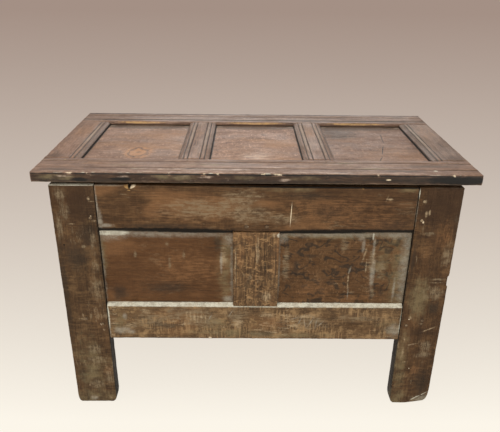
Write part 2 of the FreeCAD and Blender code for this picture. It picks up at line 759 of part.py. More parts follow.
strap_top = knuckle_radius + knuckle_gap
strap_low = strap_top - strap_thickness
strap_point = strap_setback - lid_depth / 2 - pin_depth
half_eye = eye_length / 2
half_leaf = half_eye + eye_gap + knuckle_length
leaf_y = (-knuckle_radius - knuckle_gap, leaf_thickness - knuckle_radius - knuckle_gap)
leaf_nail_places = (
    (-leaf_nail_side, -leaf_nail_drop),
    (leaf_nail_side, -leaf_nail_drop),
    (zero, -leaf_nail_low),
)
strap_nail_places = [row * side - pin_depth for row in strap_nail_rows for side in (-1, 1)]


def strap(label, place):
    """A long strap with a pointed tip; its narrow neck ends in the eye round the pin."""
    body = new_piece(label, place)
    shoulder = -neck_length - shoulder_length
    left = [
        (-half_eye, zero),
        (-half_eye, -neck_length),
        (-strap_root / 2, shoulder),
        (-strap_end / 2, strap_point + strap_tip),
    ]
    points = left + [(zero, strap_point)] + mirror(left)
    pad(body, outline(body, "Strap", "XY_Plane", points, strap_low), strap_thickness,
        side="One side")
    eye = (-half_eye, half_eye)
    rod(body, "PartDesign::AdditiveCylinder", "Eye", (zero, zero), "x", eye, knuckle_radius)
    hole(body, (zero, zero), "x", eye, pin_radius + pin_fit)
    for y in strap_nail_places:
        hole(body, (zero, y), "z", (strap_low, strap_top), nail_radius + nail_fit)


def leaf(label, place):
    """The fixed leaf: a pointed plate on the rear top rail, with two knuckles at its head."""
    body = new_piece(label, place)
    points = [
        (-half_leaf, zero),
        (-half_leaf, -leaf_straight),
        (zero, -leaf_length),
        (half_leaf, -leaf_straight),
        (half_leaf, zero),
    ]
    pad(body, outline(body, "Plate", "XZ_Plane", points, -leaf_y[1]), leaf_thickness,
        side="One side")
    for hand in (1, -1):
        span = handed(hand, (-half_leaf, knuckle_length - half_leaf))
        rod(body, "PartDesign::AdditiveCylinder", "Knuckle", (zero, zero), "x", span,
            knuckle_radius)
    eye_slot = grown((-half_eye, half_eye), eye_gap)
    block(body, "Subtractive", "EyeSlot", eye_slot, leaf_y,
          (-knuckle_radius - leaf_clearance, zero))
    hole(body, (zero, zero), "x", (-half_leaf, half_leaf), pin_radius + pin_fit)
    for centre in leaf_nail_places:
        hole(body, centre, "y", leaf_y, nail_radius + nail_fit)


def fused(name, items):
    fuse = doc.addObject("Part::MultiFuse", name)
    fuse.Shapes = items
    return fuse


def pin(label, place):
    """The pin, with both ends hammered over."""
    end = half_leaf + pin_head_gap
    parts = [rod(None, "Part::Cylinder", "PinShank", (zero, zero), "x", (-end, end), pin_radius)]
    for hand in (1, -1):
        span = handed(hand, (-end - pin_head_length, -end))
        parts.append(
            rod(None, "Part::Cylinder", "PinHead", (zero, zero), "x", span, pin_head_radius))
    put(fused(label, parts), label, place)


def nail(centre, axis, shank, base_radius, tip_radius, head_start):
    """A nail: a round shank, and a cone-shaped head that starts at head_start on the axis."""
    parts = [rod(None, "Part::Cylinder", "Shank", centre, axis, shank, nail_radius)]
    head = doc.addObject("Part::Cone", "RoseHead")
    head.Placement = FreeCAD.Placement(FreeCAD.Vector(), AXIS_TURN[axis])
    head.setExpression("Radius1", base_radius.text)
    head.setExpression("Radius2", tip_radius.text)
    head.setExpression("Height", nail_head_height.text)
    corner = list(centre)
    corner.insert("xyz".index(axis), head_start)
    set_base(head, corner)
    return fused("Nail", parts + [head])


def hinge(side, x):
    place = (x, pin_depth, pin_height)
    strap(f"{side}_hinge_strap", place)
    leaf(f"{side}_hinge_leaf", place)
    pin(f"{side}_hinge_pin", place)
    strap_nails = []
    for y in strap_nail_places:
        strap_nails.append(nail((zero, y), "z", (strap_low, strap_top + nail_length),
                                nail_crown_radius, nail_head_radius,
                                strap_low - nail_head_height))
    group(f"{side}_strap_nails", strap_nails, place)
    leaf_nails = []
    for centre in leaf_nail_places:
        leaf_nails.append(nail(centre, "y", (leaf_y[0] - nail_length, leaf_y[1]),
                               nail_head_radius, nail_crown_radius, leaf_y[1]))
    group(f"{side}_leaf_nails", leaf_nails, place)


def leaf_nail_holes(rail, x):
    """The rear wall is turned about, so the x of a hinge changes its sign there."""
    for nail_x, drop in leaf_nail_places:
        centre = (nail_x - x, pin_height + drop)
        hole(rail, centre, "y", (zero, nail_length + nail_fit), nail_radius + nail_fit)


for side, x in hinge_places.items():
    hinge(side, x)
    leaf_nail_holes(rear_rail, x)

# ---------------------------------------------------------------- build, check and write

doc.recompute()

for item in doc.Objects:
    if "Invalid" in item.State or "Error" in item.State:
        raise RuntimeError(f"{item.Label} has failed: {item.State}")
for item in sub_parts:
    if item.Shape.isNull() or not item.Shape.isValid():
        raise RuntimeError(f"{item.Label} has no valid shape")
    if item.TypeId == "PartDesign::Body" and len(item.Shape.Solids) != 1:
        raise RuntimeError(f"{item.Label} is not one solid")

os.makedirs("parts", exist_ok=True)
for item in sub_parts:
    item.Shape.exportStep(os.path.join("parts", f"{item.Label}.step"))
print(f"{len(sub_parts)} sub-parts written")
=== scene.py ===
"""Joined oak coffer: worn boards, pegs and wrought ironwork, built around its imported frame.

Lengths are metres in the row frame, +Z up, and the front faces -Y. Materials work in
millimetres on the same axes.
"""
import math
from dataclasses import dataclass

import bmesh
import bpy
from bpy.props import FloatProperty, FloatVectorProperty, PointerProperty
from mathutils import Matrix, Vector


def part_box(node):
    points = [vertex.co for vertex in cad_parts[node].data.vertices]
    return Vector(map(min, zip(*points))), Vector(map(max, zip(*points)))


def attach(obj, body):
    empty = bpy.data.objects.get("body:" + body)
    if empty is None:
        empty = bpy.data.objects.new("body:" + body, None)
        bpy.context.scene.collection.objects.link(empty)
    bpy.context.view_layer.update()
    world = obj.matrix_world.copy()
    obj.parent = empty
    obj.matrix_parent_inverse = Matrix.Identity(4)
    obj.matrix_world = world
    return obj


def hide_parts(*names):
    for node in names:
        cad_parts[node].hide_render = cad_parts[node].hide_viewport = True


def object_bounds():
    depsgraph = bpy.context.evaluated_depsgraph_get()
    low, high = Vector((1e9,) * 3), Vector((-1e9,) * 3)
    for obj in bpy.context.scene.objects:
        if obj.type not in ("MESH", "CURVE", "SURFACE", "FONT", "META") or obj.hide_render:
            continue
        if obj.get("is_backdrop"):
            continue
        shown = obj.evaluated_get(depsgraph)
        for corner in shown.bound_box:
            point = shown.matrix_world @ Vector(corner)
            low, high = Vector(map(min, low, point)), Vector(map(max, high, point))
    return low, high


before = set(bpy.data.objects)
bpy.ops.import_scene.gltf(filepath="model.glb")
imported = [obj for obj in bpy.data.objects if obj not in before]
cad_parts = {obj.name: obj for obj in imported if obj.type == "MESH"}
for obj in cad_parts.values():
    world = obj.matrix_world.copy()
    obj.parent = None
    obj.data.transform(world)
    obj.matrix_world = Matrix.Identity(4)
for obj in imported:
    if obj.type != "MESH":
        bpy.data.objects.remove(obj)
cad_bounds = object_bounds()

bl_info = {
    "name": "Joined oak coffer",
    "version": (1, 0, 0),
    "blender": (4, 5, 0),
    "location": "View3D > Sidebar > Coffer",
    "description": "Builds the worn boards, pegs and ironwork of a joined oak coffer",
    "category": "Add Mesh",
}

X, Y, Z = range(3)
MM = 0.001
SNAP = 1e-5
GROOVE = 0.008           # how far a panel of the frame file reaches into the wood round it
SIDES = (("left", -1), ("right", 1))


# ---------------------------------------------------------------- what a user may change


def length(name, description, default):
    return FloatProperty(name=name, description=description, default=default, min=0, unit="LENGTH")


def colour(name, description, default):
    return FloatVectorProperty(
        name=name, description=description, default=default, size=3, min=0, max=1, subtype="COLOR")


class CofferTimber(bpy.types.PropertyGroup):
    """How the boards are ruled and how far they are worn."""

    step: length("Ruling", "Distance between the lines of a board's mesh", 0.008)
    arris: length("Arris", "Rounding of an open edge", 0.0022)
    shoulder: length("Soft edge", "Rounding of a blunt edge, such as that of a bevel", 0.0008)
    wave: length("Planing", "Depth of the waves that a hand plane has left", 0.0008)
    nibble: length("Nibbles", "Depth of the small wear along the edges", 0.0022)
    chip: length("Chips", "Depth of the deepest chip along an edge", 0.0032)
    lap: length("Lap", "How far a panel reaches into the frame round it", 0.002)


class CofferMouldings(bpy.types.PropertyGroup):
    """The shaped edges of rails, muntins and stiles."""

    line_width: length("Line width", "Width of a scratched line", 0.0034)
    line_depth: length("Line depth", "Depth of a scratched line", 0.0018)
    rail_outer: length("Outer line", "Edge of the lid to a rail's outer line", 0.034)
    rail_inner: length("Inner line", "Edge of the lid to a rail's inner line", 0.077)
    near_line: length("First line", "Panel to the first line of a stile or muntin", 0.013)
    far_line: length("Second line", "Panel to the second line", 0.0235)
    ovolo_width: length("Ovolo width", "Sloping edge beside a lid panel, sideways", 0.011)
    ovolo_drop: length("Ovolo drop", "Sloping edge beside a lid panel, downwards", 0.004)
    lid_chamfer: length("Lid chamfer", "Widest part of a chamfer beside a lid panel", 0.006)
    nosing: length("Lid nosing", "Rounding of the long top edges of the lid", 0.0015)
    lid_corner: length("Lid corner", "Rounding of the corners of the lid", 0.0045)
    chamfer: length("Front chamfer", "Chamfers under the front top rail", 0.0085)
    chamfer_run: length("Front run-out", "Where a front chamfer dies away", 0.070)
    chamfer_end: length("Front stop", "Middle of the rail to the end of a chamfer", 0.022)
    bevel_drop: length("Bevel height", "Height of the bevel on a bottom rail", 0.007)
    bevel_depth: length("Bevel depth", "Depth of the bevel on a bottom rail", 0.008)
    field_slope: length("Field slope", "Slope round the raised back of a panel", 0.022)
    field_margin: length("Field margin", "Slope of a panel's back to its frame", 0.002)
    tongue: length("Tongue", "Thickness of a panel at its edge", 0.007)
    foot_side: length("Foot wear", "Worn corner of a foot, sideways", 0.009)
    foot_rise: length("Foot rise", "Worn corner of a foot, upwards", 0.022)


class CofferColours(bpy.types.PropertyGroup):
    """Colours of the wood, of what lies on it and of the iron."""

    frame_dark: colour("Frame, dark", "Grain of the frame", (0.038, 0.021, 0.010))
    frame_mid: colour("Frame", "Body of the frame", (0.092, 0.050, 0.022))
    frame_light: colour("Frame, light", "Pale grain of the frame", (0.185, 0.112, 0.052))
    panel_dark: colour("Panel, dark", "Grain of the wall panels", (0.055, 0.026, 0.010))
    panel_mid: colour("Panel", "Body of the wall panels", (0.100, 0.048, 0.018))
    panel_light: colour("Panel, light", "Pale grain of the wall panels", (0.160, 0.086, 0.038))
    lid_dark: colour("Lid, dark", "Grain of the lid", (0.092, 0.049, 0.032))
    lid_mid: colour("Lid", "Body of the lid", (0.186, 0.103, 0.065))
    lid_light: colour("Lid, light", "Pale grain of the lid", (0.290, 0.180, 0.120))
    dry_dark: colour("Dry oak, dark", "Grain of faces that were never waxed", (0.085, 0.058, 0.038))
    dry_mid: colour("Dry oak", "Faces that were never waxed", (0.200, 0.138, 0.088))
    dry_light: colour("Dry oak, light", "Pale grain of such faces", (0.300, 0.220, 0.145))
    worn: colour("Worn", "Wood that hands and cloths have rubbed pale", (0.370, 0.275, 0.165))
    lid_worn: colour("Lid, worn", "Lid where it is rubbed pale", (0.400, 0.300, 0.230))
    # This red-brown is also painted shade along the top arris of the front rail, under the lid.
    umber: colour("Umber", "Dark red-brown finish", (0.044, 0.019, 0.007))
    russet: colour("Russet", "Wood where the old finish glows", (0.235, 0.115, 0.048))
    raw: colour("Raw oak", "Fresh wood in chips and scratches", (0.640, 0.520, 0.360))
    gold: colour("Golden oak", "Long rubbed edges", (0.420, 0.250, 0.095))
    dust: colour("Dust", "Dust and old wax on ledges", (0.560, 0.540, 0.440))
    haze: colour("Haze", "Thin dust over the wood", (0.300, 0.270, 0.215))
    film: colour("Film", "Thin olive film", (0.165, 0.128, 0.066))
    # Dimmed, this colour is also the painted shadow in gaps, corners, notches and under edges.
    grime_and_shade: colour("Grime", "Dirt in corners and lines", (0.022, 0.016, 0.011))
    iron: colour("Iron", "Wrought iron", (0.052, 0.047, 0.044))
    rust: colour("Rust", "Rust on the iron", (0.150, 0.062, 0.026))


class CofferStudio(bpy.types.PropertyGroup):
    """The plain studio round the coffer."""

    lens: FloatProperty(name="Lens", description="Focal length", default=40.67, unit="CAMERA")
    key: FloatProperty(name="Key", description="Soft light overhead", default=62, unit="POWER")
    sheen: FloatProperty(
        name="Sheen", description="Light behind, for the lid", default=60, unit="POWER")
    fill: FloatProperty(name="Fill", description="Light beside the camera", default=30, unit="POWER")
    sky: FloatProperty(name="Surround", description="Strength of the surround", default=0.55, min=0)
    glow: FloatProperty(name="Glow", description="Share of its own light in the floor", default=0.965)
    floor_near: colour("Floor, near", "Paper under the coffer", (0.965, 0.913, 0.815))
    floor_far: colour("Floor, far", "Paper far behind it", (0.376, 0.283, 0.238))


# ---------------------------------------------------------------- shader maths


def maths(operation, reflected=False):
    """A Python operator on a value that adds the Math node of that operation."""

    def apply(self, other):
        pair = (other, self) if reflected else (self, other)
        return self.finish.node("ShaderNodeMath", {"operation": operation}, dict(enumerate(pair)))

    return apply


class Value:
    """A socket of a finish; an expression on values adds its Math nodes."""

    def __init__(self, finish, socket):
        self.finish = finish
        self.socket = socket

    __add__ = maths("ADD")
    __radd__ = maths("ADD", True)
    __sub__ = maths("SUBTRACT")
    __rsub__ = maths("SUBTRACT", True)
    __mul__ = maths("MULTIPLY")
    __rmul__ = maths("MULTIPLY", True)
    __truediv__ = maths("DIVIDE")
    __rtruediv__ = maths("DIVIDE", True)
    larger = maths("MAXIMUM")


class Finish:
    """A material being made, on its piece's own coordinates in millimetres."""

    def __init__(self, name):
        self.material = bpy.data.materials.new(name)
        self.material.use_nodes = True
        self.tree = self.material.node_tree
        self.tree.nodes.clear()
        self.base = opaque((0, 0, 0))
        metres = self.node("ShaderNodeTexCoord", out="Object")
        self.place = self.node("ShaderNodeVectorMath", {"operation": "SCALE"},
                               {0: metres, "Scale": 1 / MM})

    def node(self, kind, settings=None, values=None, out=0):
        """Add a node: its own settings first, then the values or links of its sockets."""
        node = self.tree.nodes.new(kind)
        for name, setting in (settings or {}).items():
            setattr(node, name, setting)
        for name, value in (values or {}).items():
            if isinstance(value, Value):
                self.tree.links.new(value.socket, node.inputs[name])
            else:
                node.inputs[name].default_value = value
        return Value(self, node.outputs[out]) if node.outputs else None

    def vector(self, operation, *vectors, out=0):
        return self.node("ShaderNodeVectorMath", {"operation": operation},
                         dict(enumerate(vectors)), out)

    def noise(self, sizes, detail=2, place=None, bend=0.0):
        """Soft noise from 0 to 1, with lumps of these sizes in millimetres."""
        spot = self.vector("DIVIDE", place or self.place, sizes)
        return self.node("ShaderNodeTexNoise", {}, {
            "Vector": spot, "Scale": 1, "Detail": detail, "Roughness": 0.6, "Distortion": bend})

    def band(self, value, start, end):
        """A smooth rise from 0 at start to 1 at end."""
        return self.node("ShaderNodeMapRange", {"interpolation_type": "SMOOTHSTEP"},
                         {0: value, 1: start, 2: end})

    def mix(self, factor, first, second, mode="MIX"):
        return self.node("ShaderNodeMix", {"data_type": "RGBA", "blend_type": mode},
                         {0: factor, 6: first, 7: second}, out=2)

    def coat(self, cover, paint, mode="MIX"):
        """Lay a colour over the base, where cover is 1."""
        self.base = self.mix(cover, self.base, opaque(paint), mode)

    def attribute(self, name):
        return self.node("ShaderNodeAttribute", {"attribute_name": name}, out="Fac")

    def coordinate(self, axis):
        return self.node("ShaderNodeSeparateXYZ", {}, {0: self.place}, out=axis)

    def patch(self, centre, reach, turn=(0, 0, 0)):
        """1 at a centre, falling to 0 at a distance of reach along each axis."""
        spot = self.node("ShaderNodeMapping", {"vector_type": "TEXTURE"}, {
            "Vector": self.place, "Location": centre, "Rotation": turn, "Scale": reach})
        return 1 - self.vector("LENGTH", spot, out="Value")

    def done(self, roughness, height, specular=0.3, metallic=0.0, glow=None):
        """Join the base, roughness, a height in millimetres and a glow to the surface."""
        bump = self.node("ShaderNodeBump", {}, {"Height": height, "Distance": MM})
        shine, strength = glow or (opaque((0, 0, 0)), 0.0)
        shader = self.node("ShaderNodeBsdfPrincipled", {}, {
            "Base Color": self.base, "Roughness": roughness, "Normal": bump,
            "Specular IOR Level": specular, "Metallic": metallic,
            "Emission Color": shine, "Emission Strength": strength})
        self.node("ShaderNodeOutputMaterial", {}, {"Surface": shader})
        return self.material


def opaque(rgb):
    return (*rgb, 1.0)


def dimmed(rgb, share):
    return tuple(channel * share for channel in rgb)


# ---------------------------------------------------------------- oak


@dataclass
class Look:
    """What sets one board's finish apart from another's."""

    tone: str                    # whose colours it has: frame, panel, lid or dry
    grain: int                   # the axis that the grain runs along
    face: int                    # the axis that goes through the board
    seed: float = 0.0
    figure: float = 0.2          # silvery rays
    scuffs: float = 0.2
    russet: float = 0.1
    rub: float = 0.0             # pale arrises
    gloss: float = 0.3
    inside: tuple = None         # axis, and start and end of the change to dry oak
    edge: tuple = None           # axis, start, end, and a tint that darkens what lies past them: painted shade on a side face
    marks: tuple = ()
    knot: tuple = None           # centre and reach
    swirl: float = 0.0           # dark wandering threads
    contrast: float = 1.0
    level: float = 1.0           # lightness of the wood's own colours
    cross: float = 0.2           # saw marks across the grain
    warmth: float = 0.0
    blotch: float = 0.2


def on_face(axis, level, depth, **kinds):
    """Soft marks of each kind on the face at a level of an axis, in millimetres and degrees.

    A mark is its two places on the face, its reach along both, and, where it needs them, a depth
    of its own and a turn about the axis.
    """
    marks = []
    for kind, spots in kinds.items():
        for first, second, wide, high, *own in spots:
            deep, turn = (*own, 0, 0)[:2]
            centre, reach, angle = [first, second], [wide, high], [0, 0]
            centre.insert(axis, level)
            reach.insert(axis, deep or depth)
            angle.insert(axis, math.radians(turn))
            marks.append((kind, centre, reach, angle))
    return tuple(marks)


def grain_place(finish, look):
    """The place as (along the grain, across the board, through it), made to wander."""
    across = 3 - look.grain - look.face
    order = (look.grain, across, look.face)
    parts = {number: finish.coordinate(axis) for number, axis in enumerate(order)}
    straight = finish.vector(
        "ADD", finish.node("ShaderNodeCombineXYZ", {}, parts),
        (look.seed * 311.0, look.seed * 173.0, look.seed * 97.0))
    wander = finish.node("ShaderNodeTexNoise", {}, {
        "Vector": finish.vector("DIVIDE", straight, (260, 90, 90)), "Scale": 1, "Detail": 2},
        out="Color")
    shift = finish.vector("MULTIPLY", finish.vector("SUBTRACT", wander, (0.5, 0.5, 0.5)),
                          (0, 26, 12))
    return finish.vector("ADD", straight, shift)


def around_knot(finish, look, place):
    """The grain place bent round a knot, and how near the knot is."""
    centre, reach = look.knot
    weight = finish.patch(centre, reach).larger(0.0) + (finish.noise((16, 24, 16)) - 0.5) * 0.3
    shift = finish.node("ShaderNodeCombineXYZ", {}, {0: 0.0, 1: weight * 30.0, 2: weight * 6.0})
    return finish.vector("ADD", place, shift), weight


def oak(name, look):
    """Old oak: growth rings, fibres, pores, ray figure, patina, and the marks of its life."""
    colours = bpy.context.scene.coffer_colours
    finish = Finish(name)
    noise, band, coat = finish.noise, finish.band, finish.coat
    place = grain_place(finish, look)
    knot_weight = None
    if look.knot:
        place, knot_weight = around_knot(finish, look, place)

    def tone(shade):
        red, green, blue = dimmed(getattr(colours, f"{look.tone}_{shade}"), look.level)
        return red, green * (1 - 0.18 * look.warmth), blue * (1 - 0.32 * look.warmth)

    dark, mid, light = tone("dark"), tone("mid"), tone("light")
    grime_and_shade, russet = colours.grime_and_shade, colours.russet
    rings = noise((700, 5, 7), 3, place)
    fibres = noise((46, 1.5, 1.5), 2, place)
    streaks = noise((150, 3.4, 4), 2, place)
    flames = noise((26, 4.6, 6), 3, place)
    pores = band(noise((11, 0.8, 0.9), 1, place), 0.60, 0.72)
    cloud = noise((120, 46, 46), 3, place)
    mottle = noise((13, 9, 9), 3)
    grit = noise((2.6, 2.6, 2.6), 2)

    force = look.contrast
    finish.base = opaque(mid)
    for value, start, end, strength, paint in (
            (rings, 0.62, 0.38, 0.85, dark),
            (streaks, 0.52, 0.38, 0.6, dark),
            (cloud, 0.54, 0.36, 0.5, dark),
            (fibres, 0.48, 0.74, 0.55, light),
            (flames, 0.50, 0.66, 0.50, light),
            (flames, 0.47, 0.34, 0.45, dark)):
        coat(band(value, start, end) * (strength * force), paint)
    saw = noise((3.4, 40, 30), 3, place)
    sawn = band(noise((90, 60, 60), 1), 0.46, 0.62) * look.cross
    coat(band(saw, 0.50, 0.60) * sawn * 0.7, light)
    coat(band(saw, 0.48, 0.38) * sawn * 0.6, dark)
    blots = noise((34, 22, 24), 4)
    coat(band(blots, 0.52, 0.66) * look.blotch, light)
    coat(band(blots, 0.47, 0.34) * look.blotch, dark)
    checks = noise((340, 6, 9), 1, place) - 0.5
    crack = band(checks * checks * 1000, 0.35, 0.02)
    crack = crack * band(noise((170, 50, 50), 1, place), 0.50, 0.62)
    coat(crack * (0.8 * force), grime_and_shade)
    coat(pores * 0.55, dimmed(grime_and_shade, 1.6))

    rays = noise((7, 17, 2.2), 2, place, bend=1.1)
    flakes = band(rays, 0.585, 0.64)
    coat(flakes * (0.75 * look.figure), light)
    coat(band(rays, 0.415, 0.36) * (0.8 * look.figure), dark)
    coat(band(noise((170, 70, 70), 2, place), 0.52, 0.66) * look.russet, russet)
    if knot_weight:
        flow = knot_weight * 2.3 + noise((24, 30, 20), 3) * 1.7
        ring = finish.node("ShaderNodeMath", {"operation": "PINGPONG"}, {0: flow, 1: 0.5})
        inner = band(knot_weight, 0.12, 0.45)
        coat(inner * band(ring, 0.10, 0.40) * 0.75, dimmed(russet, 1.4))
        coat(band(ring, 0.17, 0.03) * inner * 0.7, dimmed(dark, 0.7))
    if look.swirl:
        away = noise((34, 26, 26), 1, bend=0.7) - 0.5
        thread = band(away * away * 1000, 6.0, 0.5)
        thread = thread * band(noise((26, 24, 22), 1), 0.47, 0.56)
        coat(thread * look.swirl, grime_and_shade)

    dry = None
    if look.inside:
        axis, start, end = look.inside
        dry = band(finish.coordinate(axis), start, end)
        pale = band(rings, 0.36, 0.66) * 0.55 + band(cloud, 0.38, 0.60) * 0.45
        bare = finish.mix(pale, opaque(colours.dry_dark), opaque(colours.dry_mid))
        bare = finish.mix(band(fibres, 0.45, 0.75) * 0.7, bare, opaque(colours.dry_light))
        bare = finish.mix(pores * 0.5, bare, opaque(colours.dry_dark))
        finish.base = finish.mix(dry, finish.base, bare)

    # Painted shade: a tint darkens a side face, such as the inner face of a leg or an edge face of
    # the lid.
    if look.edge:
        axis, start, end, shade = look.edge
        coat(band(finish.coordinate(axis), start, end), shade, "MULTIPLY")

    ragged = (mottle - 0.5) * 1.5 + (grit - 0.5) * 0.9
    worn = colours.lid_worn if look.tone == "lid" else colours.worn
    scuffs = noise((26, 7, 9), 3, place) + noise((95, 80, 80), 1) * 0.8 + (grit - 0.5) * 0.35
    coat(band(scuffs, 1.06, 1.22) * look.scuffs, worn)
    rub = band(finish.attribute("arris") + ragged * 0.45, 0.62, 1.05) * look.rub
    coat(rub, worn)

    settled = rub * 0.3
    flecks = (fibres - 0.5) * 1.6 + (mottle - 0.5) * 1.3 + (grit - 0.5) * 0.9 + (flames - 0.5)
    broken = band(flecks, -0.22, 0.30) * 0.8 + 0.2
    drift = (cloud - 0.5) * 0.8 + (mottle - 0.5) * 0.9 + (flames - 0.5) * 0.8
    dusty = 0.6 + band(mottle + (grit - 0.5) * 0.8, 0.36, 0.62) * 0.4
    settling = (mottle - 0.5) * 0.5 + (grit - 0.5) * 0.35
    chipped = ragged * 0.35
    soft, firm = (0.05, 0.85), (0.12, 0.5)
    kinds = {
        "dark": (grime_and_shade, 0.6, drift, soft),
        "shade": (dimmed(colours.frame_dark, 1.1), 0.75, chipped, firm),
        # A dark red-brown laid over the wood: painted shade along the top arris of the front rail
        # under the lid; elsewhere it darkens the tops of the stiles, the sloped edges beside the lid
        # panels and patches of the rails.
        "umber": (colours.umber, 0.55, drift, soft),
        "film": (colours.film, 0.15 + band(blots, 0.38, 0.60) * 0.5, drift, soft),
        "russet": (russet, broken * 0.45, drift, soft),
        "tan": (dimmed(worn, 0.55), broken * 0.8, drift, soft),
        "worn": (worn, broken * 0.75, drift, soft),
        "haze": (colours.haze, dusty * 0.62, settling, soft),
        "gold": (colours.gold, dusty * 0.80, chipped, firm),
        "dust": (colours.dust, dusty * 0.90, ragged * 0.1, firm),
        # Near-dark paint: mostly painted shadow in gaps, corners, notches, on walls beside panels and
        # under edges, and a few dark cracks and scratched lines.
        "black": (dimmed(grime_and_shade, 0.15), 0.95, chipped, firm),
        "raw": (colours.raw, 0.95, chipped, firm),
    }
    for kind, (paint, strength, shift, limits) in kinds.items():
        spots = [finish.patch(*mark[1:]) for mark in look.marks if mark[0] == kind]
        if not spots:
            continue
        nearest = spots[0]
        for spot in spots[1:]:
            nearest = nearest.larger(spot)
        cover = band(nearest + shift, *limits) * strength
        coat(cover, paint)
        if kind in ("haze", "dust"):
            settled = settled.larger(cover)

    coat(finish.attribute("line") * 0.9, grime_and_shade)
    coat(band(finish.attribute("raw") + ragged * 0.35, 0.28, 0.55), colours.raw)

    roughness = 1 - look.gloss * (1 - settled * 0.8) * (0.75 + band(cloud, 0.4, 0.6) * 0.25)
    roughness = roughness + pores * 0.1 + (fibres - 0.5) * 0.12
    if dry:
        roughness = finish.node("ShaderNodeMix", {"data_type": "FLOAT"},
                                {0: dry, 2: roughness, 3: 0.85})
    height = (fibres * 0.5 + streaks * 0.5 - pores * 0.3 - crack * 0.5 + mottle * 0.5
              + flakes * (0.2 * look.figure) + cloud * 0.6 + grit * 0.25)
    return finish.done(roughness, height, 0.3 if look.tone == "lid" else 0.15)


def peg_oak():
    """End grain of the riven pegs: dark rims, pale hearts."""
    colours = bpy.context.scene.coffer_colours
    finish = Finish("peg_oak")
    fibres = finish.noise((1.3, 1.3, 1.3), 3)
    cloud = finish.noise((34, 34, 34), 1)
    finish.base = opaque(colours.frame_dark)
    finish.coat(finish.band(fibres, 0.35, 0.7), colours.frame_light)
    finish.coat(finish.band(cloud, 0.5, 0.62) * 0.5, colours.worn)
    finish.coat(finish.band(finish.attribute("arris"), 0.4, 0.9) * 0.85, colours.grime_and_shade)
    return finish.done(0.6 + (fibres - 0.5) * 0.3, fibres * 0.3)


def wrought_iron():
    """Hammered iron with a brown skin and rust in its hollows."""
    colours = bpy.context.scene.coffer_colours
    finish = Finish("wrought_iron")
    hammer = finish.noise((9, 9, 9), 1)
    pits = finish.noise((1.6, 1.6, 1.6), 3)
    bloom = finish.noise((22, 22, 22), 3)
    rusty = finish.band(bloom + (pits - 0.5) * 0.5, 0.48, 0.66)
    finish.base = opaque(dimmed(colours.iron, 0.5))
    finish.coat(finish.band(pits, 0.35, 0.7), dimmed(colours.iron, 1.7))
    finish.coat(rusty * 0.8, colours.rust)
    finish.coat(finish.band(finish.attribute("arris"), 0.5, 1.0) * 0.4, dimmed(colours.iron, 4.5))
    roughness = 0.48 + rusty * 0.32 + (pits - 0.5) * 0.2
    return finish.done(roughness, hammer * 1.1 + pits * 0.25, metallic=(1 - rusty) * 0.75)


# ---------------------------------------------------------------- the bench


def near(first, second):
    return abs(first - second) < SNAP


def pick(piece, kind, wanted):
    """In edit mode, select the vertices or faces of a piece that are wanted, and no others."""
    bpy.ops.mesh.select_mode(type=kind)
    bpy.ops.mesh.select_all(action="DESELECT")
    mesh = bmesh.from_edit_mesh(piece.data)
    for item in mesh.verts if kind == "VERT" else mesh.faces:
        item.select_set(wanted(item))
    mesh.select_flush_mode()
    bmesh.update_edit_mesh(piece.data)


def take_up(*pieces):
    """Select these pieces and no others, and make the first one active."""
    bpy.ops.object.select_all(action="DESELECT")
    for piece in pieces:
        piece.select_set(True)
    bpy.context.view_layer.objects.active = pieces[0]


def note_share(piece, name, share):
    """Store a share from 0 to 1 on each vertex, for the finish, and give the shares back."""
    mesh = piece.data
    amounts = [min(max(share(vertex.co), 0.0), 1.0) for vertex in mesh.vertices]
    mesh.attributes.new(name, "FLOAT", "POINT").data.foreach_set("value", amounts)
    return amounts


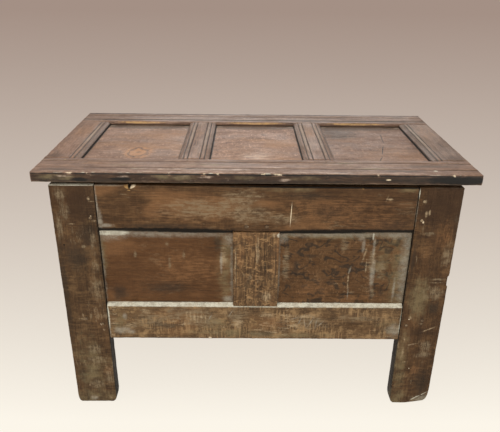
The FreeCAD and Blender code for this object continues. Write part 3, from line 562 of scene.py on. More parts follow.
class Bench:
    """A block between two corners, worked in edit mode as by hand."""

    def __init__(self, name, low, high):
        self.low, self.high = Vector(low), Vector(high)
        bpy.ops.object.select_all(action="DESELECT")
        bpy.ops.mesh.primitive_cube_add(
            size=1, location=(self.low + self.high) / 2, scale=self.high - self.low)
        self.piece = bpy.context.object
        self.piece.name = self.piece.data.name = name
        bpy.ops.object.transform_apply(location=True, rotation=True, scale=True)
        bpy.ops.object.mode_set(mode="EDIT")

    def score(self, axis, *places):
        """Draw a line round the block at each place along an axis."""
        normal = Vector()
        normal[axis] = 1
        for place in places:
            bpy.ops.mesh.select_all(action="SELECT")
            bpy.ops.mesh.bisect(plane_co=normal * place, plane_no=normal)

    def rule(self, *steps):
        """Fill the gaps between the lines of each axis with lines about a step apart."""
        for axis, step in enumerate(steps):
            mesh = bmesh.from_edit_mesh(self.piece.data)
            levels = sorted({round(vert.co[axis], 5) for vert in mesh.verts})
            for start, end in zip(levels, levels[1:]):
                parts = int((end - start) / step + 0.5)
                self.score(axis, *(start + (end - start) * part / parts
                                   for part in range(1, parts)))

    def break_off(self, place, outwards):
        """Take away what lies beyond a plane."""
        bpy.ops.mesh.select_all(action="SELECT")
        bpy.ops.mesh.bisect(plane_co=place, plane_no=outwards, use_fill=True, clear_outer=True)

    def push(self, wanted, move):
        """Move the vertices that are wanted."""
        pick(self.piece, "VERT", lambda vert: wanted(vert.co))
        bpy.ops.transform.translate(value=move)

    def plough(self, axis, depth_axis, level, half_width, depth, *places):
        """Scratch a line at each place along an axis into the face at a level."""
        for place in places:
            self.score(axis, place - half_width, place, place + half_width)
            move = Vector()
            move[depth_axis] = -depth
            self.push(lambda co: near(co[depth_axis], level) and near(co[axis], place), move)

    def ease(self, width):
        """Round every convex edge by the width that a rule gives for its middle and angle."""
        bpy.ops.object.mode_set(mode="OBJECT")
        mesh = bmesh.new()
        mesh.from_mesh(self.piece.data)
        layer = mesh.edges.layers.float.new("bevel_weight_edge")
        widths = {}
        for edge in mesh.edges:
            angle = edge.calc_face_angle(0)
            if angle > math.radians(25) and edge.is_convex:
                middle = (edge.verts[0].co + edge.verts[1].co) / 2
                widths[edge] = width(middle, angle)
        widest = max(widths.values())
        for edge, wide in widths.items():
            edge[layer] = wide / widest
        mesh.to_mesh(self.piece.data)
        mesh.free()
        bevel = self.piece.modifiers.new("Ease", "BEVEL")
        bevel.limit_method = "WEIGHT"
        bevel.width = widest
        bevel.segments = 3
        bevel.profile = 0.42
        bevel.use_clamp_overlap = False
        bpy.ops.object.modifier_apply(modifier=bevel.name)

    def arris_distance(self, co, runs):
        """Distance to the nearest edge of the block that runs along one of the axes."""
        gap = [min(co[axis] - self.low[axis], self.high[axis] - co[axis]) for axis in range(3)]
        return min(max(gap[(run + 1) % 3], gap[(run + 2) % 3]) for run in runs)

    def note(self, name, share):
        """Store a share on each vertex, and also as a group for the modifiers."""
        group = self.piece.vertex_groups.new(name=f"{name}_weight")
        for number, amount in enumerate(note_share(self.piece, name, share)):
            if amount > 0:
                group.add([number], amount, "REPLACE")
        return group.name

    def dent(self, strength, level, texture=None, group=""):
        """Move the surface in by a texture, as a Displace modifier does."""
        modifier = self.piece.modifiers.new("Dent", "DISPLACE")
        modifier.texture = texture
        modifier.texture_coords = "LOCAL"
        modifier.strength = strength
        modifier.mid_level = level
        modifier.vertex_group = group
        bpy.ops.object.modifier_apply(modifier=modifier.name)


def worn_texture(name, size, depth):
    texture = bpy.data.textures.get(name) or bpy.data.textures.new(name, "CLOUDS")
    texture.noise_scale = size
    texture.noise_depth = depth
    return texture


def hand_over(piece, body, node, material):
    """Give a finished piece its material and its body, and hide the node it stands for."""
    piece.data.materials.clear()
    piece.data.materials.append(material)
    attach(piece, body)
    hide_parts(node)


def board(node, body, slot, low, high, look, shape=None, width=None, runs=(X, Y, Z), chips=(),
          steps=None, lines=None, cut=None):
    """Make one board: block, shape, ruling, eased edges, wear and finish."""
    timber = bpy.context.scene.coffer_timber
    bench = Bench(f"{node}_oak", low, high)
    if shape:
        shape(bench)
    bench.rule(*(steps or (timber.step,) * 3))

    def usual(middle, angle):
        return timber.arris if angle > math.radians(60) else timber.shoulder

    bench.ease(lambda middle, angle: (width and width(middle, angle)) or usual(middle, angle))
    if cut:
        cut(bench.piece)
    line_reach, arris_reach = 0.003, 0.006
    if lines:
        axis, places, half_width = lines
        bench.note("line", lambda co: co.z > high[Z] - line_reach and max(
            2 - 2 * abs(co[axis] - place) / half_width for place in places))
    arris = bench.note("arris", lambda co: 1 - bench.arris_distance(co, runs) / arris_reach)
    raw = bench.note("raw", lambda co: max(
        (chip_depth(co, *chip) for chip in chips), default=0.0))
    bench.dent(timber.wave, 1.0, worn_texture("plane_waves", 0.085, 1))
    bench.dent(timber.nibble, 0.9, worn_texture("nibbles", 0.013, 2), arris)
    if chips:
        bench.dent(-timber.chip, 0.0, group=raw)
    bench.piece.vertex_groups.clear()
    bpy.ops.object.shade_smooth_by_angle(angle=math.radians(38))
    hand_over(bench.piece, body, node, oak(f"{node}_finish", look))
    return bench.piece


def chip_depth(co, centre, reach):
    """How deep a chip is at a place: 1 at its centre, 0 at its rim."""
    distance = sum(((co[axis] - centre[axis]) / reach[axis]) ** 2 for axis in range(3))
    return 1 - distance


# ---------------------------------------------------------------- where the frame stands

front_rail_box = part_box("lid_front_rail")
lid_span = (front_rail_box[0].x, front_rail_box[1].x)
lid_underside, lid_top = front_rail_box[0].z, front_rail_box[1].z
lid_shoulder = front_rail_box[1].y
left_stile_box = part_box("front_left_stile")
front_face = left_stile_box[0].y
rear_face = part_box("rear_left_stile")[1].y
stile_edge = left_stile_box[1].x
frame_top = left_stile_box[1].z
top_rail_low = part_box("front_top_rail")[0].z
low_rail_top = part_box("front_bottom_rail")[1].z
half_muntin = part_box("front_muntin")[1].x
end_inner_front = left_stile_box[1].y
end_inner_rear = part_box("rear_left_stile")[0].y

FRONT, WALL, LID_TOP, LID_EDGE, LID_PANEL = (round(level / MM, 3) for level in (
    front_face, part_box("front_left_panel")[0].y, lid_top, front_rail_box[0].y,
    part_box("lid_left_panel")[1].z))


class COFFER_OT_add_stage(bpy.types.Operator):
    """Add the pale floor, the soft lights and the camera"""

    bl_idname = "coffer.add_stage"
    bl_label = "Stage"

    def execute(self, context):
        studio = context.scene.coffer_studio
        context.scene.view_settings.view_transform = "Standard"
        self.floor(studio)
        self.lights(context, studio)
        self.camera(context, studio)
        return {"FINISHED"}

    def floor(self, studio):
        bpy.ops.object.select_all(action="DESELECT")
        bpy.ops.mesh.primitive_grid_add(x_subdivisions=2, y_subdivisions=2, size=80)
        floor = bpy.context.object
        floor.name = "studio_floor"
        finish = Finish("studio_paper")
        eye_height, eye_back, nearest = 1074.0, 1430.0, 1000.0
        flattest, rise = 0.077, 0.899
        steepness = eye_height / (finish.coordinate(Y) + eye_back).larger(nearest)
        tint = finish.mix((steepness - flattest) / rise, opaque(studio.floor_far),
                          opaque(studio.floor_near))
        finish.base = tint
        finish.coat(1.0, (1 - studio.glow,) * 3, "MULTIPLY")
        floor.data.materials.append(
            finish.done(0.9, 0.0, specular=0.0, glow=(tint, studio.glow)))
        floor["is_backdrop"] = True

    def lights(self, context, studio):
        world = bpy.data.worlds.new("studio_surround")
        world.use_nodes = True
        background = world.node_tree.nodes["Background"]
        background.inputs["Color"].default_value = (1.0, 0.965, 0.92, 1)
        background.inputs["Strength"].default_value = studio.sky
        context.scene.world = world
        lamps = (        # name, power, size, place, what it is aimed at
            ("key_softbox", studio.key, 2.4, (-0.7, -0.9, 2.6), (0.0, 0.0, 0.4)),
            ("sheen_softbox", studio.sheen, 2.6, (0.2, 3.4, 2.4), (0.0, 0.0, 0.5)),
            ("fill_softbox", studio.fill, 2.2, (0.9, -2.9, 1.5), (0.0, 0.0, 0.3)),
        )
        for name, power, size, place, target in lamps:
            bpy.ops.object.light_add(type="AREA", location=place)
            lamp = bpy.context.object
            lamp.name = name
            lamp.data.energy = power
            lamp.data.size = size
            lamp.data.color = (1.0, 0.97, 0.93)
            away = Vector(place) - Vector(target)
            lamp.rotation_euler = away.to_track_quat("Z", "Y").to_euler()

    def camera(self, context, studio):
        place = (-0.0262, -1.4299, 1.0744)
        pitch, yaw, roll = (math.radians(angle) for angle in (24.269, 0.553, -0.671))
        ahead = Vector((math.sin(yaw) * math.cos(pitch), math.cos(yaw) * math.cos(pitch),
                        -math.sin(pitch)))
        level = Vector((math.cos(yaw), -math.sin(yaw), 0))
        down = ahead.cross(level)
        right = level * math.cos(roll) + down * math.sin(roll)
        up = level * math.sin(roll) - down * math.cos(roll)
        bpy.ops.object.camera_add()
        camera = bpy.context.object
        camera.name = "studio_camera"
        camera.data.sensor_fit = "HORIZONTAL"
        camera.data.sensor_width = 36
        camera.data.lens = studio.lens
        turn = Matrix((right, up, -ahead)).transposed().to_4x4()
        camera.matrix_world = Matrix.Translation(place) @ turn
        context.scene.camera = camera


# ---------------------------------------------------------------- the carcase

# Where a board's outer finish gives way to dry oak: the axis, the start and the end.
front_inside = (Y, end_inner_front / MM - 7, end_inner_front / MM - 2)
rear_inside = (Y, end_inner_rear / MM + 7, end_inner_rear / MM + 2)
end_insides = {hand: (X, 442 * hand, 438 * hand) for _, hand in SIDES}


def between_stiles(node):
    """The corners of a rail of the carcase without its tenons."""
    low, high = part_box(node)
    if "end" in node:
        low.y, high.y = end_inner_front, end_inner_rear
    else:
        low.x, high.x = stile_edge, -stile_edge
    return low, high


class COFFER_OT_add_stiles(bpy.types.Operator):
    """Add the four corner stiles, with their worn feet"""

    bl_idname = "coffer.add_stiles"
    bl_label = "Corner stiles"

    def execute(self, context):
        mouldings = context.scene.coffer_mouldings
        beside = 0.014

        def foot(bench):
            """Wear the two lower corners away in three steps."""
            steps = [(mouldings.foot_rise * rise, share)
                     for rise, share in ((0.0, 1.0), (0.29, 0.29), (0.6, 0.09))]
            bench.score(Z, *(height for height, _ in steps[1:]), mouldings.foot_rise)
            bench.score(X, bench.low.x + beside, bench.high.x - beside)
            for height, share in steps:
                for edge, hand in ((bench.low.x, 1), (bench.high.x, -1)):
                    bench.push(lambda co: near(co.z, height) and near(co.x, edge),
                               (mouldings.foot_side * share * hand, 0, 0))

        def broken_foot(bench):
            """The right front foot has lost a corner, and its outer edge a bite higher up."""
            foot(bench)
            break_place, break_outwards = (0.412, -0.259, 0.006), (0.184, -0.945, -0.265)
            bench.break_off(break_place, break_outwards)
            bite_low, bite_high, bite_run, bite_depth = 0.366, 0.389, 0.004, 0.0035
            bench.score(Z, bite_low - bite_run, bite_low, bite_high, bite_high + bite_run)
            bench.score(Y, bench.low.y + beside)
            bench.push(lambda co: near(co.x, bench.high.x) and near(co.y, bench.low.y)
                       and bite_low - SNAP < co.z < bite_high + SNAP, (-bite_depth, 0, 0))

        # The edge tints of the front stiles are painted shade on the inner faces of the legs.
        looks = {
            "front_left_stile": Look("frame", Z, Y, seed=1, figure=0.35, scuffs=0.3, russet=0.08,
                                     rub=0.25, gloss=0.42, inside=front_inside,
                                     edge=(X, -366, -364, (0.10, 0.09, 0.06)),
                                     marks=left_stile_marks, contrast=0.55, level=0.82, cross=0.6,
                                     warmth=0.3, blotch=0.5),
            "front_right_stile": Look("frame", Z, Y, seed=2, figure=0.4, scuffs=0.3, russet=0.12,
                                      rub=0.25, gloss=0.42, inside=front_inside,
                                      edge=(X, 366, 364, (0.15, 0.135, 0.09)),
                                      marks=right_stile_marks, contrast=0.55, level=0.78, cross=0.6,
                                      warmth=0.6, blotch=0.5),
        }
        for number, (side, hand) in enumerate(SIDES):
            looks[f"rear_{side}_stile"] = Look(
                "frame", Z, Y, seed=3 + number, rub=0.2, inside=rear_inside,
                marks=rear_stile_marks(hand))
        for node, look in looks.items():
            shape = broken_foot if node == "front_right_stile" else foot
            board(node, "carcase", "oak_frame", *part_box(node), look, shape)
        return {"FINISHED"}


left_stile_marks = (
    *on_face(
        Y, FRONT, 12,
        # Painted shadow along the inner edge beside the panel.
        black=((-362, 420, 3, 400, 8), (-446, 469, 3, 3, 5)),
        dark=((-400, 570, 60, 90), (-392, 500, 44, 60), (-420, 440, 40, 60), (-458, 330, 14, 200),
              (-442, 89, 20, 34)),
        umber=((-420, 585, 90, 120),),
        tan=((-441, 598, 20, 24), (-436, 560, 14, 40), (-452, 515, 10, 44), (-378, 477, 10, 40),
             (-403, 465, 10, 5, 8), (-383, 350, 22, 40), (-378, 412, 12, 24), (-405, 173, 26, 24),
             (-400, 140, 30, 16), (-376, 80, 18, 40), (-410, 60, 26, 16)),
        worn=((-424, 523, 12, 2.4, 8), (-377, 586, 4, 5, 6), (-372, 579, 9, 1.8, 6),
              (-371, 531, 9, 5, 6), (-425, 264, 10, 5, 6), (-424, 272, 3, 10, 6),
              (-375, 232, 5, 4, 6), (-430, 56, 4, 3, 6), (-423, 18, 12, 6, 8), (-379, 15, 7, 5, 8)),
        raw=((-377, 541, 2.2, 4.4, 6), (-381, 249, 2.6, 4.4, 6)),
        film=((-420, 120, 60, 130), (-415, 12, 100, 44, 30)),
        russet=((-380, 104, 18, 20),),
        haze=((-422, 14, 14, 12),)),
    *on_face(Y, -256, 15, dust=((-414, 620, 160, 5),)),
    # Painted shadow on the top of the stile, under the lid.
    *on_face(Y, -226, 22, black=((-414, 620, 200, 6),)),
)
right_stile_marks = (
    *on_face(
        Y, FRONT, 12,
        # Painted shadow along the inner edge beside the panel, and in the bite in the outer edge.
        black=((362.5, 400, 3, 400, 8), (463, 376, 4, 14, 8)),
        dark=((420, 575, 90, 100), (456, 560, 16, 120), (372, 430, 8, 80, 8), (440, 300, 24, 24, 8),
              (440, 70, 30, 70)),
        umber=((420, 580, 90, 120),),
        russet=((438, 500, 30, 50), (415, 112, 16, 20)),
        film=((378, 130, 24, 150), (400, 330, 40, 80), (377, 18, 44, 50, 30)),
        worn=((381, 584, 4, 8, 6), (394, 557, 3.4, 9, 6), (386, 552, 4.4, 10, 6),
              (385, 272, 7, 6, 6), (413, 255, 7, 3, 6), (437, 239, 30, 2.4, 8, -25),
              (379, 206, 3, 12, 8, -20), (400, 192, 20, 3, 8, -12), (379, 160, 5, 24, 8),
              (389, 137, 12, 2.4, 8)),
        raw=((382, 534, 2.6, 4.4, 6), (383, 268, 2.2, 2.2, 5), (402, 116, 1.8, 2.4, 5)),
        tan=((384, 516, 3, 24, 6), (397, 504, 24, 6, 8), (450, 450, 16, 46), (442, 383, 26, 4),
             (436, 374, 28, 3), (432, 345, 34, 24), (437, 187, 22, 20), (430, 160, 28, 12))),
    *on_face(
        Y, -260, 5,
        dust=((420, 619.5, 100, 3, 6), (364.5, 602, 2.6, 24)),
        haze=((364.5, 560, 2.6, 70),)),
    *on_face(Y, -257, 6, tan=((432, 14, 30, 18, 10),), dust=((452, 34, 14, 2, 6, -34),)),
    # Painted shadow on the top of the stile, under the lid.
    *on_face(Y, -226, 25, black=((414, 620, 200, 8),)),
    *on_face(Y, -252, 20, film=((446, 8, 46, 24),)),
    *on_face(Y, -254, 16, haze=((452, 12, 30, 22),)),
    *on_face(Y, -258, 6, dust=((430, 19.5, 20, 3, 6, -34),)),
)


def rear_stile_marks(hand):
    middle = 414 * hand
    return on_face(Y, 249, 10, haze=((middle, 619, 70, 4),), film=((middle, 14, 70, 30, 20),),
                   dark=((middle, 560, 60, 60, 20),))


class COFFER_OT_add_top_rails(bpy.types.Operator):
    """Add the top rails; the front one has stopped chamfers and two worn notches"""

    bl_idname = "coffer.add_top_rails"
    bl_label = "Top rails"

    def execute(self, context):
        timber, mouldings = context.scene.coffer_timber, context.scene.coffer_mouldings

        def chamfer_rows(bench):
            beyond = 0.011
            bench.score(Z, bench.low.z + beyond)
            bench.score(Y, bench.low.y + beyond)

        def chamfer(middle, angle):
            if near(middle.y, front_face) and near(middle.z, top_rail_low):
                run = (abs(middle.x) - mouldings.chamfer_end) / mouldings.chamfer_run
                share = min(max(run, 0.0), 1.0)
                return max(mouldings.chamfer * share * (2 - share), timber.arris)
            return None

        board("front_top_rail", "carcase", "oak_frame", *between_stiles("front_top_rail"),
              Look("frame", X, Y, seed=5, figure=0.15, russet=0.45, rub=0.35, gloss=0.46,
                   inside=front_inside, marks=front_top_marks, contrast=0.65, level=0.9,
                   warmth=0.6, blotch=0.25),
              chamfer_rows, chamfer, (X,), cut=self.wear_notches)
        board("rear_top_rail", "carcase", "oak_frame", *between_stiles("rear_top_rail"),
              Look("frame", X, Y, seed=6, figure=0.15, russet=0.15, rub=0.2, inside=rear_inside,
                   marks=on_face(Y, 249, 8, haze=((0, 619, 600, 4),))), runs=(X,))
        for side, hand in SIDES:
            node = f"{side}_end_top_rail"
            board(node, "carcase", "oak_frame", *between_stiles(node),
                  Look("frame", Y, X, seed=7 + hand, scuffs=0.25, russet=0.35, rub=0.3, gloss=0.4,
                       inside=end_insides[hand],
                       marks=on_face(X, 465 * hand, 9, haze=((0, 619, 400, 4),),
                                     worn=((-60, 560, 90, 26, 12),))), runs=(Y,))
        return {"FINISHED"}

    def wear_notches(self, rail):
        """Cut the places where the ends of the straps have bitten into the arris."""
        for side, wide, deep in (("left", 0.0286, 0.009), ("right", 0.0121, 0.005)):
            low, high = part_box(f"{side}_hinge_strap")
            self.notch(rail, (low.x + high.x) / 2, wide, deep)

    def notch(self, rail, place, wide, deep):
        """Cut a notch with two slopes that meet in a line rising inwards."""
        bpy.ops.object.select_all(action="DESELECT")
        bpy.ops.mesh.primitive_cone_add(vertices=3, radius1=1, depth=1, end_fill_type="NGON")
        cutter = bpy.context.object
        past = deep * 0.6
        corners = (
            (place - wide, front_face - past, frame_top + past),
            (place + wide, front_face - past, frame_top + past),
            (place, front_face - past, frame_top - deep - past),
            (place, front_face + deep + past, frame_top + past),
        )
        for vertex, corner in zip(cutter.data.vertices, corners):
            vertex.co = corner
        cutter.data.update()
        bpy.ops.object.mode_set(mode="EDIT")
        bpy.ops.mesh.select_all(action="SELECT")
        bpy.ops.mesh.normals_make_consistent(inside=False)
        bpy.ops.object.mode_set(mode="OBJECT")
        bpy.ops.object.select_all(action="DESELECT")
        bpy.context.view_layer.objects.active = rail
        cut = rail.modifiers.new("Notch", "BOOLEAN")
        cut.operation = "DIFFERENCE"
        cut.object = cutter
        bpy.ops.object.modifier_apply(modifier=cut.name)
        bpy.data.objects.remove(cutter)


front_top_marks = (
    *on_face(
        Y, FRONT, 12,
        haze=((-361, 565, 4.5, 80, 8), (-357, 530, 9, 40, 8), (-345, 520, 30, 7, 8),
              (366, 560, 7, 90, 8)),
        film=((338, 614, 34, 10, 10), (60, 613, 90, 10, 10)),
        umber=((250, 560, 190, 90),),
        dark=((-215, 520, 130, 10), (120, 598, 90, 18), (165, 556, 50, 24), (310, 530, 60, 22)),
        russet=((-130, 560, 190, 50), (170, 556, 220, 60), (250, 540, 140, 40)),
        tan=((-28, 588, 60, 34), (-20, 554, 80, 36), (-100, 562, 150, 34), (60, 540, 60, 20),
             (-300, 597, 15, 2, 8), (-287, 590, 13, 1.7, 8)),
        raw=((78.5, 551, 1.2, 38, 6, 2.3), (-21.5, 519, 4, 2.4, 6)),
        worn=((294, 594, 3, 13, 6, 18), (300, 590, 9, 4, 6), (27, 519, 4, 3, 6)),
        gold=((-286, 606.5, 5, 2, 6),)),
    *on_face(
        Y, -257, 5,
        # Painted shadow along the lower edge of the rail, and in the right notch.
        black=((0, 503.5, 900, 3, 8), (239.5, 617, 2, 3)),
        gold=((237, 616, 4.4, 3.6),)),
    *on_face(
        Y, -256, 9,
        haze=((-340, 619, 90, 5, 12),),
        gold=((-291, 615.5, 11, 5, 9, 32),),
        raw=((-276, 615.5, 11, 4, 9, -32),)),
    # Painted shadow along the top arris, under the lid.
    *on_face(Y, -258, 6, black=((180, 617.5, 350, 4),), umber=((-150, 618, 200, 3),)),
    # Painted shadow on the top of the rail, under the lid.
    *on_face(Y, -232, 26, black=((60, 620, 360, 6),)),
    *on_face(Y, -226, 20, black=((0, 620, 900, 6),)),
    # Painted shadow in the left notch.
    *on_face(Y, -254, 9, black=((-284, 615, 5, 9),)),
    # Painted shadow on the stopped chamfers under the rail, which face down.
    ("black", (-232, -254.2, 508.4), (300, 8, 11.5), (math.radians(45), 0, 0)),
    ("black", (262, -254.2, 508.4), (335, 8, 11.5), (math.radians(45), 0, 0)),
)


class COFFER_OT_add_bottom_rails(bpy.types.Operator):
    """Add the bottom rails with their bevelled upper edges"""

    bl_idname = "coffer.add_bottom_rails"
    bl_label = "Bottom rails"

    def execute(self, context):
        mouldings = context.scene.coffer_mouldings
        drop, depth = mouldings.bevel_drop, mouldings.bevel_depth

        def bevel(axis, hand):
            """The bevel on the outer side: the arris goes to the middle of its slope."""

            def shape(bench):
                outer = bench.low[axis] if hand < 0 else bench.high[axis]
                bench.score(Z, bench.high.z - drop)
                bench.score(axis, outer - depth * hand)
                move = Vector((0, 0, -drop / 2))
                move[axis] = -depth / 2 * hand
                bench.push(lambda co: near(co.z, bench.high.z) and near(co[axis], outer), move)

            return shape

        board("front_bottom_rail", "carcase", "oak_frame", *between_stiles("front_bottom_rail"),
              Look("frame", X, Y, seed=9, figure=0.45, scuffs=0.7, russet=0.25, rub=0.3, gloss=0.36,
                   inside=front_inside, marks=front_bottom_marks, contrast=0.6, level=1.62,
                   cross=1.1, warmth=-0.2, blotch=0.75),
              bevel(Y, -1), runs=(X,))
        board("rear_bottom_rail", "carcase", "oak_frame", *between_stiles("rear_bottom_rail"),
              Look("frame", X, Y, seed=10, scuffs=0.3, rub=0.2, inside=rear_inside,
                   marks=on_face(Y, 245, 14, dust=((0, 306, 900, 8),))), bevel(Y, 1), runs=(X,))
        for side, hand in SIDES:
            node = f"{side}_end_bottom_rail"
            board(node, "carcase", "oak_frame", *between_stiles(node),
                  Look("frame", Y, X, seed=12 + hand, figure=0.3, scuffs=0.5, russet=0.2, rub=0.3,
                       gloss=0.36, inside=end_insides[hand],
                       marks=on_face(X, 461 * hand, 14, dust=((0, 306, 600, 8),))),
                  bevel(X, hand), runs=(Y,))
        return {"FINISHED"}


front_bottom_marks = (
    *on_face(
        Y, FRONT, 12,
        dust=((-361, 275, 3.4, 50, 8), (362.5, 262, 2.6, 60, 8)),
        haze=((-361, 235, 4, 50, 8), (352, 234, 34, 28, 8), (-321, 272, 8, 16, 8),
              (-330, 231, 34, 16, 8), (-310, 225, 16, 10, 8), (112, 262, 2, 20, 6, 24),
              (124, 256, 1.8, 22, 6, -12), (138, 256, 2, 24, 6, 28), (152, 250, 1.8, 22, 6, 8),
              (163, 252, 1.8, 20, 6, 40), (96, 268, 16, 2.4, 6, -14), (-110, 272, 2, 12, 6, 30),
              (-60, 282, 2, 14, 6, 30)),
        umber=((0, 206, 1200, 5, 8), (250, 245, 90, 26)),
        tan=((-250, 262, 70, 30), (-170, 284, 90, 24), (-128, 262, 60, 26), (-46, 276, 46, 30),
             (250, 270, 70, 16), (140, 254, 60, 28, 8)),
        worn=((-355, 216, 6, 6, 8), (-132, 272, 4, 22, 6), (-141, 268, 3, 20, 6),
              (-149, 270, 4, 22, 6), (-159, 272, 3, 20, 6), (-168, 276, 4, 18, 6),
              (-122, 266, 3, 20, 6), (-40, 254, 20, 20), (-310, 246, 20, 12), (-268, 285, 18, 14),
              (28, 278, 30, 12), (128, 275, 60, 9)),
        film=((-335, 262, 34, 46), (346, 240, 52, 34), (-100, 250, 60, 26), (-60, 225, 150, 16),
              (120, 218, 130, 11)),
        raw=((-112, 210, 6, 3, 8),),
        dark=((20, 222, 46, 13), (-215, 246, 44, 12), (70, 246, 30, 24)),
        russet=((40, 248, 90, 24),)),
    *on_face(Y, -255, 14, dust=((0, 306, 1600, 8),)),
    *on_face(Y, -258.5, 6, umber=((-250, 302, 110, 3),)),
)


class COFFER_OT_add_muntins(bpy.types.Operator):
    """Add the two muntins, whose feet are scribed over the bevel of their rail"""

    bl_idname = "coffer.add_muntins"
    bl_label = "Muntins"

    def execute(self, context):
        mouldings = context.scene.coffer_mouldings

        def scribe(hand):
            def shape(bench):
                outer = bench.low.y if hand < 0 else bench.high.y
                bench.score(Y, outer - mouldings.bevel_depth * hand)
                bench.push(lambda co: near(co.z, bench.low.z) and near(co.y, outer),
                           (0, 0, -mouldings.bevel_drop))

            return shape

        board("front_muntin", "carcase", "oak_frame", (-half_muntin, front_face, low_rail_top),
              (half_muntin, end_inner_front, top_rail_low),
              Look("frame", Z, Y, seed=14, figure=1, scuffs=0.35, russet=0.35, rub=0.2, gloss=0.42,
                   inside=front_inside, marks=muntin_marks, swirl=0.4, level=1.62, warmth=0.1),
              scribe(-1), runs=(Z,))
        board("rear_muntin", "carcase", "oak_frame", (-half_muntin, end_inner_rear, low_rail_top),
              (half_muntin, rear_face, top_rail_low),
              Look("frame", Z, Y, seed=15, figure=0.3, rub=0.2, inside=rear_inside),
              scribe(1), runs=(Z,))
        return {"FINISHED"}


muntin_marks = (
    *on_face(
        Y, FRONT, 8,
        dark=((-46, 405, 2.2, 110, 6), (47, 405, 2.4, 110, 6)),
        worn=((44, 498, 9, 9), (4, 455, 5, 44), (30, 330, 16, 26), (-48, 420, 3, 70, 6)),
        dust=((53, 497, 7, 8),)),
    *on_face(Y, -258, 8, dust=((0, 301.5, 58, 2.4),)),
)


class COFFER_OT_add_wall_panels(bpy.types.Operator):
    """Add the panels of the four walls, with sloped backs"""

    bl_idname = "coffer.add_wall_panels"
    bl_label = "Wall panels"

    def execute(self, context):
        looks = {
            "front_left_panel": (Y, -1, Look("panel", X, Y, seed=16, figure=0.12, scuffs=0.12,
                                             russet=0.3, gloss=0.5, inside=(Y, -243, -240),
                                             marks=left_panel_marks, contrast=0.45, level=0.95,
                                             warmth=0.55)),
            "front_right_panel": (Y, -1, Look("panel", X, Y, seed=17, figure=0.8, scuffs=0.3,
                                              russet=0.2, gloss=0.46, inside=(Y, -243, -240),
                                              marks=right_panel_marks, swirl=0.75, contrast=0.5,
                                              level=0.97, blotch=0.25)),
        }
        for number, (side, _) in enumerate(SIDES):
            looks[f"rear_{side}_panel"] = (Y, 1, Look(
                "panel", X, Y, seed=18 + number, figure=0.4, inside=(Y, 233, 230)))
        for number, (side, hand) in enumerate(SIDES):
            looks[f"{side}_end_panel"] = (X, hand, Look(
                "panel", Y, X, seed=20 + number, figure=0.5, scuffs=0.25, russet=0.3, gloss=0.44,
                inside=(X, 449 * hand, 446 * hand), marks=end_panel_marks(hand)))
        for node, (axis, hand, look) in looks.items():
            make_panel(node, "carcase", axis, hand, look)
        return {"FINISHED"}


def make_panel(node, body, axis, hand, look):
    """A flat board with a field raised on its back; hand is the side that its face is on."""
    scene = bpy.context.scene
    timber, mouldings = scene.coffer_timber, scene.coffer_mouldings
    low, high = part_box(node)
    for side in range(3):
        if side != axis:
            low[side] += GROOVE - timber.lap
            high[side] -= GROOVE - timber.lap
    face = high[axis] if hand > 0 else low[axis]
    seat = face - mouldings.tongue * hand
    field = abs((low[axis] if hand > 0 else high[axis]) - seat)
    bounds = [Vector(low), Vector(high)]
    bounds[0 if hand > 0 else 1][axis] = seat

    def raise_field(bench):
        pick(bench.piece, "FACE", lambda face: near(face.calc_center_median()[axis], seat))
        bpy.ops.mesh.inset(thickness=mouldings.field_margin + timber.lap)
        bpy.ops.mesh.inset(thickness=mouldings.field_slope)
        move = Vector()
        move[axis] = -field * hand
        bpy.ops.transform.translate(value=move)

    steps = [timber.step * 1.25] * 3
    board(node, body, "oak_panel", *bounds, look, raise_field,
          lambda middle, angle: timber.shoulder, steps=steps)


left_panel_marks = on_face(
    Y, WALL, 6,
    # Painted shadow under the top rail, along the top of the panel.
    black=((-80, 503.5, 320, 8), (-210, 504.5, 900, 4)),
    haze=((-220, 497, 300, 16), (-340, 492, 60, 24), (-366, 400, 10, 200), (-54, 484, 34, 28),
          (-54, 400, 10, 200), (-82, 420, 5, 44), (-62, 318, 26, 14)),
    dust=((-335, 497, 60, 10),),
    film=((-364, 450, 18, 100), (-70, 410, 38, 160)),
    worn=((-76, 435, 12, 34),),
    tan=((-209, 468, 6, 9, 5), (-205, 420, 5, 22, 5), (-170, 440, 5, 16, 5),
         (-285, 440, 6, 14, 5)),
    dark=((-90, 470, 16, 34), (-205, 350, 90, 22), (-330, 335, 26, 30), (-215, 308, 190, 6)),
    russet=((-160, 400, 110, 70),))
right_panel_marks = on_face(
    Y, WALL, 6,
    # Painted shadow under the top rail, along the top of the panel.
    black=((80, 503.5, 300, 8), (210, 504.5, 900, 3)),
    film=((180, 494, 300, 16), (350, 400, 44, 260), (300, 430, 34, 80)),
    haze=((180, 498, 260, 14), (330, 497, 80, 16), (53, 400, 8, 160), (60, 488, 22, 20),
          (364, 420, 30, 240), (337, 350, 5, 50), (208, 494, 8, 12), (226, 401, 3, 17, 6, 14),
          (226, 336, 2.4, 22), (247, 490, 12, 18), (253, 470, 7, 30), (278, 466, 5, 44),
          (281, 390, 9, 60)),
    tan=((207, 470, 12, 34), (278, 420, 14, 70), (298, 408, 16, 40), (286, 336, 6, 30),
         (72, 420, 12, 70)),
    worn=((224, 370, 3, 40), (259, 450, 4, 36, 6, 12), (264, 412, 3, 26), (280, 440, 4, 34),
          (298, 390, 12, 3), (296, 400, 10, 3)),
    dust=((274, 492, 3, 13),),
    russet=((240, 325, 90, 22), (150, 345, 90, 34)),
    dark=((96, 410, 10, 34), (130, 440, 34, 8), (306, 345, 10, 24), (215, 308, 150, 6)))


def end_panel_marks(hand):
    return on_face(
        X, 456 * hand, 6,
        haze=((-5, 505, 260, 12), (-228, 400, 11, 130), (218, 400, 14, 130)),
        worn=((60, 430, 14, 50), (-120, 390, 8, 60)),
        dark=((0, 330, 160, 26),))


